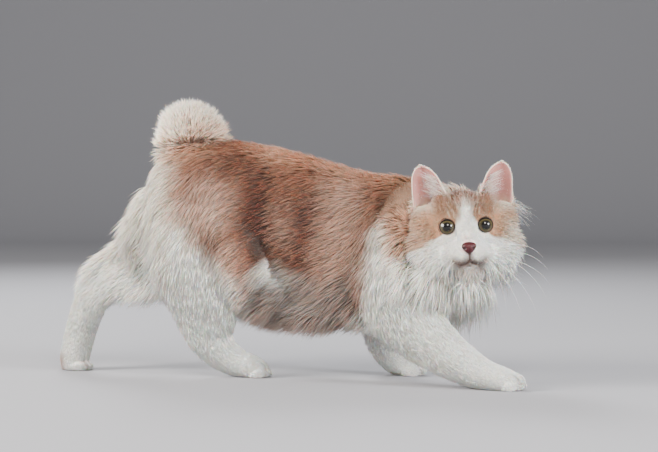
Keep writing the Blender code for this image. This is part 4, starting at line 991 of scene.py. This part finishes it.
def tuftPiece(name, p, n, way, bend, length, width, uv, tint, tipTint, rings):
    # closed blades of three sides: P(s) = root + length (s way + s^2 bend), drawn to a point
    count = len(p)
    s = np.concatenate([[-0.06], np.linspace(0, 1, rings + 1)[1:-1] ** 0.9, [1.0]])
    wide = np.concatenate([[0.7], np.interp(s[1:-1], [0, 0.35, 0.7, 1], [0.9, 1.0, 0.72, 0.2]), [0]])
    path = p[:, None] + length[:, None, None] * (s[None, :, None] * way[:, None]
                                                 + (s * np.abs(s))[None, :, None] * bend[:, None])
    path[:, 0] -= n * 0.0008
    heading = unit(np.gradient(path, axis=1))
    across = unit(np.cross(heading, n[:, None]))
    up = np.cross(across, heading)
    section = np.array([(1.0, -0.35), (0.0, 0.65), (-1.0, -0.35)])
    half = (width[:, None] * wide[None, :-1] / 2)[:, :, None, None]
    body = (path[:, :-1, None] + across[:, :-1, None] * section[None, None, :, :1] * half
            + up[:, :-1, None] * section[None, None, :, 1:] * half * 0.8)
    points = np.concatenate([body.reshape(count, -1, 3), path[:, -1:]], 1)
    points[:, :, 2] = np.maximum(points[:, :, 2], soleLevel + 0.0004)
    each = rings * 3 + 1
    faces = [(2, 1, 0)]
    for r in range(rings - 1):
        for k in range(3):
            a, b = r * 3 + k, r * 3 + (k + 1) % 3
            faces += [(a, b, b + 3), (a, b + 3, a + 3)]
    last = (rings - 1) * 3
    faces += [(last + k, last + (k + 1) % 3, last + 3) for k in range(3)]
    faces = (np.array(faces)[None] + np.arange(count)[:, None, None] * each).reshape(-1, 3)
    mesh = bpy.data.meshes.new(name)
    mesh.vertices.add(count * each)
    mesh.vertices.foreach_set("co", points.astype(np.float32).ravel())
    mesh.loops.add(faces.size)
    mesh.loops.foreach_set("vertex_index", faces.ravel().astype(np.int32))
    mesh.polygons.add(len(faces))
    mesh.polygons.foreach_set("loop_start", np.arange(0, faces.size, 3, dtype=np.int32))
    mesh.update(calc_edges=True)
    ringShare = np.concatenate([np.repeat(s[:-1].clip(0), 3), [1.0]])
    cross = np.concatenate([np.tile([0.5, 0.0, -0.5], rings), [0.0]])
    corner = uv[:, None] + np.stack([cross * 0.003, (ringShare - 0.5) * 0.003], -1)[None]
    layer = mesh.uv_layers.new(name="OFBake")
    layer.data.foreach_set("uv", corner.reshape(-1, 2)[faces.ravel()].astype(np.float32).ravel())
    made = bpy.data.objects.new(name, mesh)
    bpy.context.scene.collection.objects.link(made)
    smoothFaces(made)
    # painted shade at each tuft's root and painted light at its tip, stronger on long hair
    shade = np.interp(ringShare, [0, 0.4, 1], [-0.09, -0.01, 0.04])
    deep = np.interp(length, [0.006, 0.020], [0.25, 1.0])
    along = ringShare[None, :, None]
    colour = tint[:, None] * (1 - along) + tipTint[:, None] * along
    colour = colour * (1 + shade[None, :, None] * deep[:, None, None])
    storeColour(made, "coatTint", colour.reshape(-1, 3).clip(0, 0.95))
    finishPiece(made, furFinish)


def clumped(p, way, length):
    # hairs of a clump lean towards the tip of its own middle hair
    count = len(p) // coat["spacing"]
    middles = np.random.default_rng(5).choice(len(p), count, replace=False)
    tree = kdtree.KDTree(count)
    for k, m in enumerate(middles):
        tree.insert(p[m], k)
    tree.balance()
    near = np.array([tree.find(place)[1] for place in p])
    lead = middles[near]
    aim = p[lead] + way[lead] * length[lead, None]
    return (aim - (p + way * length[:, None])) / length[:, None] * coat["pull"], near


def combed(p, n, way, length, lift, onHead, fine):
    # way of each tuft off the skin and its bend, with the scatter of real hair
    sway = np.stack([waves(p, 0.05, seed) for seed in (31, 32, 33)], -1) * 0.16
    way = unit(way) + sway * (1 - 0.5 * onHead[:, None])
    way = way + rng.normal(0, 1, (len(p), 3)) * (0.075 - 0.03 * fine)[:, None]
    burst = unit(p - np.array([-0.182, 0.0, 0.278]) + rng.normal(0, 0.005, p.shape)) + 0.15 * n
    way = unit(way - n * (way * n).sum(1, keepdims=True))
    rise = np.radians(lift * (1 - 0.25 * fine) + rng.normal(0, 1, len(p)) * (4 - 2.5 * fine))[:, None]
    way = unit(towards(way * np.cos(rise) + n * np.sin(rise), burst, tailRoots(p)))
    hang = onHead * smoothStep(-0.034, -0.052, toHead(p)[:, 2])
    length = length * rng.uniform(0.72, 1.15, len(p)) * (1 + hang * rng.uniform(-0.25, 0.45, len(p)))
    lean, clump = clumped(p, way, length)
    lean = lean * (1 - 0.6 * np.maximum(onHead, fine)[:, None])
    fall = np.array([0, 0, -1.0]) * np.clip(length / 0.03, 0, 1.3)[:, None] * 0.16
    curl = -n * (0.10 * smoothStep(0.008, 0.02, length))[:, None] + rng.normal(0, 0.04, (len(p), 3))
    return way, length, lean + fall + curl, clump


def pieceNames(part, length, onHead):
    # piece that each tuft goes to: the face, the ruff, or its part, whose short hair is apart
    short = length < coat["short"]
    proper = np.array([name[0].upper() + name[1:] for name in part])
    proper = np.char.add(proper, np.where(short, "Short", ""))
    return np.where(onHead > 0.5, np.where(short, "Face", "Ruff"), proper)


def makeCoat(count):
    middles = trianglePoints.mean(1)
    density = densityField(middles, unit(triangleNormals.mean(1)))
    p, n, uv = scatter(count, density)
    print("roots", len(p))
    results = [coatField(p[k:k + 20000], n[k:k + 20000]) for k in range(0, len(p), 20000)]
    way, length, lift, onHead, part = [np.concatenate(rows) for rows in zip(*results)]
    fine = smoothStep(0.016, 0.008, length)
    way, length, bend, clump = combed(p, n, way, length, lift, onHead, fine)
    width = np.interp(length, [0.003, 0.008, 0.02, 0.04], [0.00055, 0.0007, 0.0012, 0.0015])
    width = width * rng.uniform(0.75, 1.2, len(p))
    tone = np.random.default_rng(9).normal(1, 0.040, clump.max() + 1)[clump]
    tone = (1 + (tone * rng.normal(1, 0.04, len(p)) - 1) * (1 - 0.7 * fine))[:, None]
    tint = coatTint(p)
    tipTint = (0.3 * tint + 0.7 * coatTint(p + way * length[:, None] * 0.8)) * tone
    tint = tint * tone

    labels = pieceNames(part, length, onHead)
    limit = coat["triangles"] // (6 * coat["rings"] - 2)
    for label in np.unique(labels):
        chosen = np.flatnonzero(labels == label)
        chosen = chosen[np.argsort(p[chosen, 0])]
        for k in range(0, len(chosen), limit):
            c = chosen[k:k + limit]
            if len(c) < 30:
                continue
            name = "coat" + str(label) + (str(k // limit + 1) if len(chosen) > limit else "")
            tuftPiece(name, p[c], n[c], way[c], bend[c], length[c], width[c], uv[c],
                      tint[c], tipTint[c], coat["rings"])
            print(name, len(c), "tufts")


makeCoat(coat["tufts"])

# the CAD solids that the skin stands for
fleshNodes = ["torso", "neck", "head", "ear_left", "ear_right", "tail", "fore_right_upper",
              "fore_right_lower", "fore_right_paw", "fore_left_upper", "fore_left_lower",
              "fore_left_paw", "hind_right_thigh", "hind_right_shank", "hind_right_paw",
              "hind_left_thigh", "hind_left_shank", "hind_left_foot", "hind_left_paw"]
finishPiece(skin, skinFinish, fleshNodes)


def eyeMaterial():
    # gives the eye its wet cornea over a round dark pupil of about 10 mm and an olive iris of
    # 18 mm across, whose fibres run outwards, about 60 round the ring
    made, shader = newMaterial("Wet eye")
    ring = addNode(made, "ShaderNodeAttribute", {"attribute_name": "fromPupil"})
    turn = addNode(made, "ShaderNodeAttribute", {"attribute_name": "roundPupil"})
    fibres = addNode(made, "ShaderNodeTexNoise", {"noise_dimensions": "2D", "Scale": 1.0, "Detail": 3.0})
    join = addNode(made, "ShaderNodeCombineXYZ", {}, {"X": turn.outputs["Fac"], "Y": ring.outputs["Fac"]})
    scale = addNode(made, "ShaderNodeVectorMath", {"operation": "MULTIPLY", 1: (60.0, 2.0, 1.0)},
                    {0: join.outputs["Vector"]})
    made.node_tree.links.new(scale.outputs["Vector"], fibres.inputs["Vector"])
    ramp = addNode(made, "ShaderNodeValToRGB", {}, {"Fac": ring.outputs["Fac"]})
    stops = [(0.0, "#020202"), (0.35, "#030202"), (0.41, "#1D1A0E"), (0.51, "#3C361E"),
             (0.64, "#4A4026"), (0.73, "#312818"), (0.80, "#110C08"), (1.0, "#070403")]
    ramp.color_ramp.elements.remove(ramp.color_ramp.elements[1])
    for k, (place, code) in enumerate(stops):
        stop = ramp.color_ramp.elements[0] if k == 0 else ramp.color_ramp.elements.new(place)
        stop.position = place
        stop.color = (*linear(code), 1.0)
    shade = addNode(made, "ShaderNodeMapRange", {"To Min": 0.65, "To Max": 1.35},
                    {"Value": fibres.outputs["Fac"]})
    mixed = addNode(made, "ShaderNodeVectorMath", {"operation": "MULTIPLY"},
                    {0: ramp.outputs["Color"], 1: shade.outputs["Result"]})
    made.node_tree.links.new(mixed.outputs["Vector"], shader.inputs["Base Color"])
    setInputs(shader, {"Roughness": 0.5, "Specular IOR Level": 0.1, "IOR": 1.376, "Coat Weight": 1.0,
                       "Coat Roughness": 0.02})
    return made


def makeEye(name, node, side, material):
    # ball whose front swells into the cornea: r = R (1 + 0.05 (1 - (a / 40 degrees)^2)^2)
    rows, columns = 44, 56
    a = np.linspace(0, np.pi, rows + 2)[1:-1][:, None]
    u = np.linspace(0, 2 * np.pi, columns, endpoint=False)[None, :]
    swell = 1 + 0.05 * np.clip(1 - (a / math.radians(40)) ** 2, 0, 1) ** 2
    r = eyes["radius"] * swell
    ball = np.stack([r * np.cos(a) + 0 * u, r * np.sin(a) * np.cos(u), r * np.sin(a) * np.sin(u)], -1)
    points, quads, caps = closedTube(ball)
    points[-2:] = [[eyes["radius"] * 1.05, 0, 0], [-eyes["radius"], 0, 0]]
    made = meshObject(name, eyePlace(side)(points), quads, caps)
    angles = np.degrees(np.arctan2(np.hypot(points[:, 1], points[:, 2]), points[:, 0]))
    # painted shadow of the upper lid: the dark outer ring of the iris widened at its top
    paintedLidShadow = 0.14 * smoothStep(0.55, 1.0, points[:, 2] / (0.72 * eyes["radius"]))
    storeValue(made, "fromPupil", np.clip(angles / 62.7 + paintedLidShadow, 0, 1))
    storeValue(made, "roundPupil", np.arctan2(points[:, 2], points[:, 1]) / (2 * np.pi))
    faceOut(made)
    smoothFaces(made)
    finishPiece(made, material, [node])


eyeFinish = eyeMaterial()
makeEye("eyeballLeft", "eye_left", 1, eyeFinish)
makeEye("eyeballRight", "eye_right", -1, eyeFinish)

nose = {  # in the head's frame; nostril: how far aside and how high from the middle
    "middle": (0.0236, 0.0, -0.0260), "half": (0.0064, 0.0094, 0.0071), "narrowing": 0.55,
    "nostril": (0.0056, -0.0004), "nostrilHalf": (0.0015, 0.0010),
    # deep: the painted shade in the nostrils and the middle groove
    "colour": "#43131A", "deep": "#150505",
}


def leatherMaterial(name):
    # gives the nose its bare, slightly damp skin in pebbles of about 0.6 mm, with painted shade in the
    # nostrils and along the middle groove
    made, shader = newMaterial(name)
    place = addNode(made, "ShaderNodeTexCoord")
    hollowShade = addNode(made, "ShaderNodeAttribute", {"attribute_name": "paintedHollowShade"})
    cells = addNode(made, "ShaderNodeTexVoronoi", {"Scale": 1600.0}, {"Vector": place.outputs["Object"]})
    blend = addNode(made, "ShaderNodeMix", {"data_type": "RGBA"}, {"Factor": hollowShade.outputs["Fac"]})
    blend.inputs[6].default_value = (*linear(nose["colour"]), 1)
    blend.inputs[7].default_value = (*linear(nose["deep"]), 1)
    made.node_tree.links.new(blend.outputs[2], shader.inputs["Base Color"])
    bump = addNode(made, "ShaderNodeBump", {"Strength": 0.4, "Distance": 0.0003},
                   {"Height": cells.outputs["Distance"]})
    made.node_tree.links.new(bump.outputs["Normal"], shader.inputs["Normal"])
    setInputs(shader, {"Roughness": 0.42, "IOR": 1.42})
    return made


def makeNose():
    # ellipsoid that narrows downwards, pressed in at two nostrils and along its middle
    points, quads, caps = ballForm((0, 0, 0), (1, 1, 1), None, 44, 64)
    z = points[:, 2]
    half = np.array(nose["half"])
    points = points * half
    points[:, 1] *= 1 + nose["narrowing"] * (z - 0.35) * 0.6
    y, z = np.abs(points[:, 1]) - nose["nostril"][0], points[:, 2] - nose["nostril"][1]
    front = points[:, 0] > 0
    wide, high = nose["nostrilHalf"]
    hole = np.exp(-((y - 0.25 * z) / wide) ** 2 - (z / high) ** 2) * front
    line = np.exp(-(points[:, 1] / 0.0006) ** 2) * front * smoothStep(0.002, -0.003, points[:, 2])
    points[:, 0] -= 0.0026 * hole + 0.0007 * line
    made = meshObject("noseLeather", toBody(points + np.array(nose["middle"])), quads, caps)
    # the nostrils and the middle groove painted dark as shade
    storeValue(made, "paintedHollowShade", np.clip(hole * 1.2 + line * 0.5, 0, 1))
    faceOut(made)
    smoothFaces(made)
    finishPiece(made, leatherMaterial("Pink nose leather"), ["nose"])


makeNose()
print("eyes and nose")

whiskers = {  # in the head's frame: where each ends, the cat's left; roots lie on the pad
    "ends": [(-0.012, 0.092, -0.044), (-0.006, 0.096, -0.058), (0.000, 0.097, -0.076),
             (0.003, 0.091, -0.090), (0.004, 0.078, -0.106), (0.008, 0.060, -0.110),
             (0.012, 0.042, -0.102)],
    "thick": 0.00050,
}


def softTubes(name, curves, thick, tint, sides, rings):
    # tapered tubes on quadratic curves: (1-t)^2 root + 2 t (1-t) middle + t^2 end
    roots, middles, ends = [toBody(rows) for rows in curves]
    t = np.linspace(0, 1, rings)[None, :, None]
    path = (1 - t) ** 2 * roots[:, None] + 2 * t * (1 - t) * middles[:, None] + t**2 * ends[:, None]
    heading = unit(np.gradient(path, axis=1))
    across = unit(np.cross(heading, np.array([0.3, 0.2, 0.9])))
    up = np.cross(across, heading)
    turn = np.linspace(0, 2 * np.pi, sides, endpoint=False)
    half = (thick * (1 - t[:, :, 0] ** 1.5 * 0.85) / 2)[:, :, None, None]
    tubes = path[:, :, None] + half * (across[:, :, None] * np.cos(turn)[None, None, :, None]
                                       + up[:, :, None] * np.sin(turn)[None, None, :, None])
    made = meshOfForms(name, [closedTube(tube) for tube in tubes])
    tint = np.broadcast_to(tint, (len(roots), 3))
    storeColour(made, "coatTint", np.repeat(tint, rings * sides + 2, axis=0))
    smoothFaces(made)
    finishPiece(made, furFinish)


def makeWhiskers():
    # rows of stiff hairs from either pad, those on the cat's right a little shorter
    ends = np.array(whiskers["ends"])
    count = len(ends)
    roots = np.stack([np.linspace(0.012, 0.020, count), np.linspace(0.022, 0.013, count),
                      -0.030 - 0.010 * (np.arange(count) % 3) / 2], -1)
    middles = roots * 0.35 + ends * 0.65 + np.array([0.012, 0.004, 0.024])
    flips = np.array([[1, 1, 1], [1, -1, 1]])
    both = [np.concatenate([rows * flip for flip in flips]) for rows in (roots, middles, ends)]
    both[2][count:] = both[2][count:] * [1, 0.8, 0.95] + [0.02, 0, 0]
    softTubes("whiskers", both, whiskers["thick"], tones["white"], 5, 12)


makeWhiskers()


earHair = {"inside": 210, "insideThick": 0.0003, "wisps": ((1, 40), (-1, 20)), "wispThick": 0.00032}


def makeEarHair():
    # long fine hair from the ear's inner edge up and across its mouth
    count = earHair["inside"]
    parts = []
    for side in (1, -1):
        rise = rng.uniform(0.00, 0.70, count) ** 1.1
        edge = rng.uniform(-0.96, -0.55, count)
        up = rise[:, None]
        root = earBase + earStem * up + earHalf(up) * (earTaper(rise) * edge)[:, None]
        root[:, 0] -= ears["bulge"] * (1 - rise) ** 0.6 * (1 - edge**2) - 0.001
        root = root * [1, side, 1]
        way = unit(np.array([0.20, 0.90, 0.42]) * [1, side, 1] + rng.normal(0, 0.13, (count, 3)))
        reach = (0.025 * (1 - 0.5 * rise) * rng.uniform(0.5, 1.2, count))[:, None]
        parts.append((root, root + way * reach * 0.55 + [0.003, 0, 0], root + way * reach))
    softTubes("earHair", [np.concatenate(rows) for rows in zip(*parts)], earHair["insideThick"],
              tones["white"] * 0.65 + tones["earPink"] * 0.35, 3, 5)


makeEarHair()


def makeEarWisps():
    # thin hair that arches out from under the outer side of either ear
    parts = []
    for side, count in earHair["wisps"]:
        root = np.array([-0.052, 0.054, 0.018]) + rng.uniform(-1, 1, (count, 3)) * [0.010, 0.004, 0.010]
        reach = rng.uniform(0.7, 1.2, (count, 1))
        middle = root + np.array([-0.002, 0.013, 0.006]) * reach + rng.normal(0, 0.0015, (count, 3))
        end = root + np.array([-0.006, 0.026, -0.012]) * reach + rng.normal(0, 0.0040, (count, 3))
        parts.append([rows * [1, side, 1] for rows in (root, middle, end)])
    tint = np.repeat([tones["white"], tones["cream"]], [count for _, count in earHair["wisps"]], axis=0)
    softTubes("earWisps", [np.concatenate(rows) for rows in zip(*parts)], earHair["wispThick"],
              tint, 3, 7)


makeEarWisps()
print("whiskers and hair of the ears")

paper = {"wide": 9.0, "back": 4.6, "bend": 2.4, "turn": 13, "colour": "#A3A4AA"}


def makeStage():
    # pale sweep behind the cat: flat floor, then a quarter turn, then a wall
    u = np.linspace(-1, 1, 3)[None, :]
    s = np.concatenate([np.linspace(-11.0, 0, 4), np.linspace(0, 1, 25)[1:], [2.2]])
    turn = np.clip(s, 0, 1) * np.pi / 2
    y = np.where(s < 0, s + paper["back"], paper["back"] + paper["bend"] * np.sin(turn))[:, None]
    z = np.where(s < 0, 0, paper["bend"] * (1 - np.cos(turn))) + np.clip(s - 1, 0, None) * 2
    grid = np.stack([u * paper["wide"] + 0 * y, y + 0 * u, z[:, None] + 0 * u], -1)
    floor = sheetObject("paperSweep", grid @ turnMatrix(paper["turn"], "z").T)
    smoothFaces(floor)
    # matt studio paper
    made, shader = newMaterial("Pale paper")
    setInputs(shader, {"Base Color": (*linear(paper["colour"]), 1), "Roughness": 0.9})
    floor.data.materials.append(made)


makeStage()
print("stage")

lights = {  # place, aim, size in metres, watts, colour
    "keyLight": ((0.9, -2.4, 1.9), (0.0, 0, 0.15), 1.3, 74, "#FFF6EC"),
    "fillLight": ((-2.6, -1.4, 1.2), (-0.08, 0, 0.15), 1.8, 245, "#FFF9F2"),
    "lowLight": ((0.9, -2.8, 0.45), (0.1, 0, 0.15), 1.4, 2, "#FFF8F0"),
    "sideLight": ((2.6, -0.9, 0.9), (0.15, 0, 0.15), 1.0, 120, "#FFFFFF"),
    "rimLight": ((-0.9, 1.9, 1.7), (0, 0, 0.2), 1.0, 60, "#FFFFFF"),
}
room = {"colour": "#DEDDDE", "strength": 0.42}


def makeLights():
    # soft discs, and an even glow from all round
    for name, (place, aim, size, power, code) in lights.items():
        light = bpy.data.lights.new(name, "AREA")
        light.shape = "DISK"
        light.size = size
        light.energy = power
        light.color = linear(code)
        made = bpy.data.objects.new(name, light)
        made.location = place
        made.rotation_euler = (Vector(aim) - Vector(place)).to_track_quat("-Z", "Y").to_euler()
        bpy.context.scene.collection.objects.link(made)
    world = bpy.data.worlds.new("softRoom")
    world.use_nodes = True
    setInputs(world.node_tree.nodes["Background"],
              {"Color": (*linear(room["colour"]), 1), "Strength": room["strength"]})
    bpy.context.scene.world = world


makeLights()

view = {
    "turn": 13.0, "far": 2.6, "height": 0.27, "aside": 0.018,  # degrees from square on, metres
    "frame": 658, "focal": 2028,  # the picture's width and the focal length in pixels
    "horizon": 58.6,  # pixels from the picture's middle up to the horizon
}


def makeCamera():
    lens = bpy.data.cameras.new("photoCamera")
    lens.sensor_width = 36
    lens.lens = view["focal"] / view["frame"] * lens.sensor_width
    camera = bpy.data.objects.new("photoCamera", lens)
    turn = math.radians(view["turn"])
    spot = [view["far"] * math.sin(turn), view["aside"] - view["far"] * math.cos(turn), view["height"]]
    camera.location = spot + cadShift
    camera.rotation_euler = (math.radians(90) - math.atan(view["horizon"] / view["focal"]), 0, turn)
    bpy.context.scene.collection.objects.link(camera)
    bpy.context.scene.camera = camera


makeCamera()
print("lights and camera")
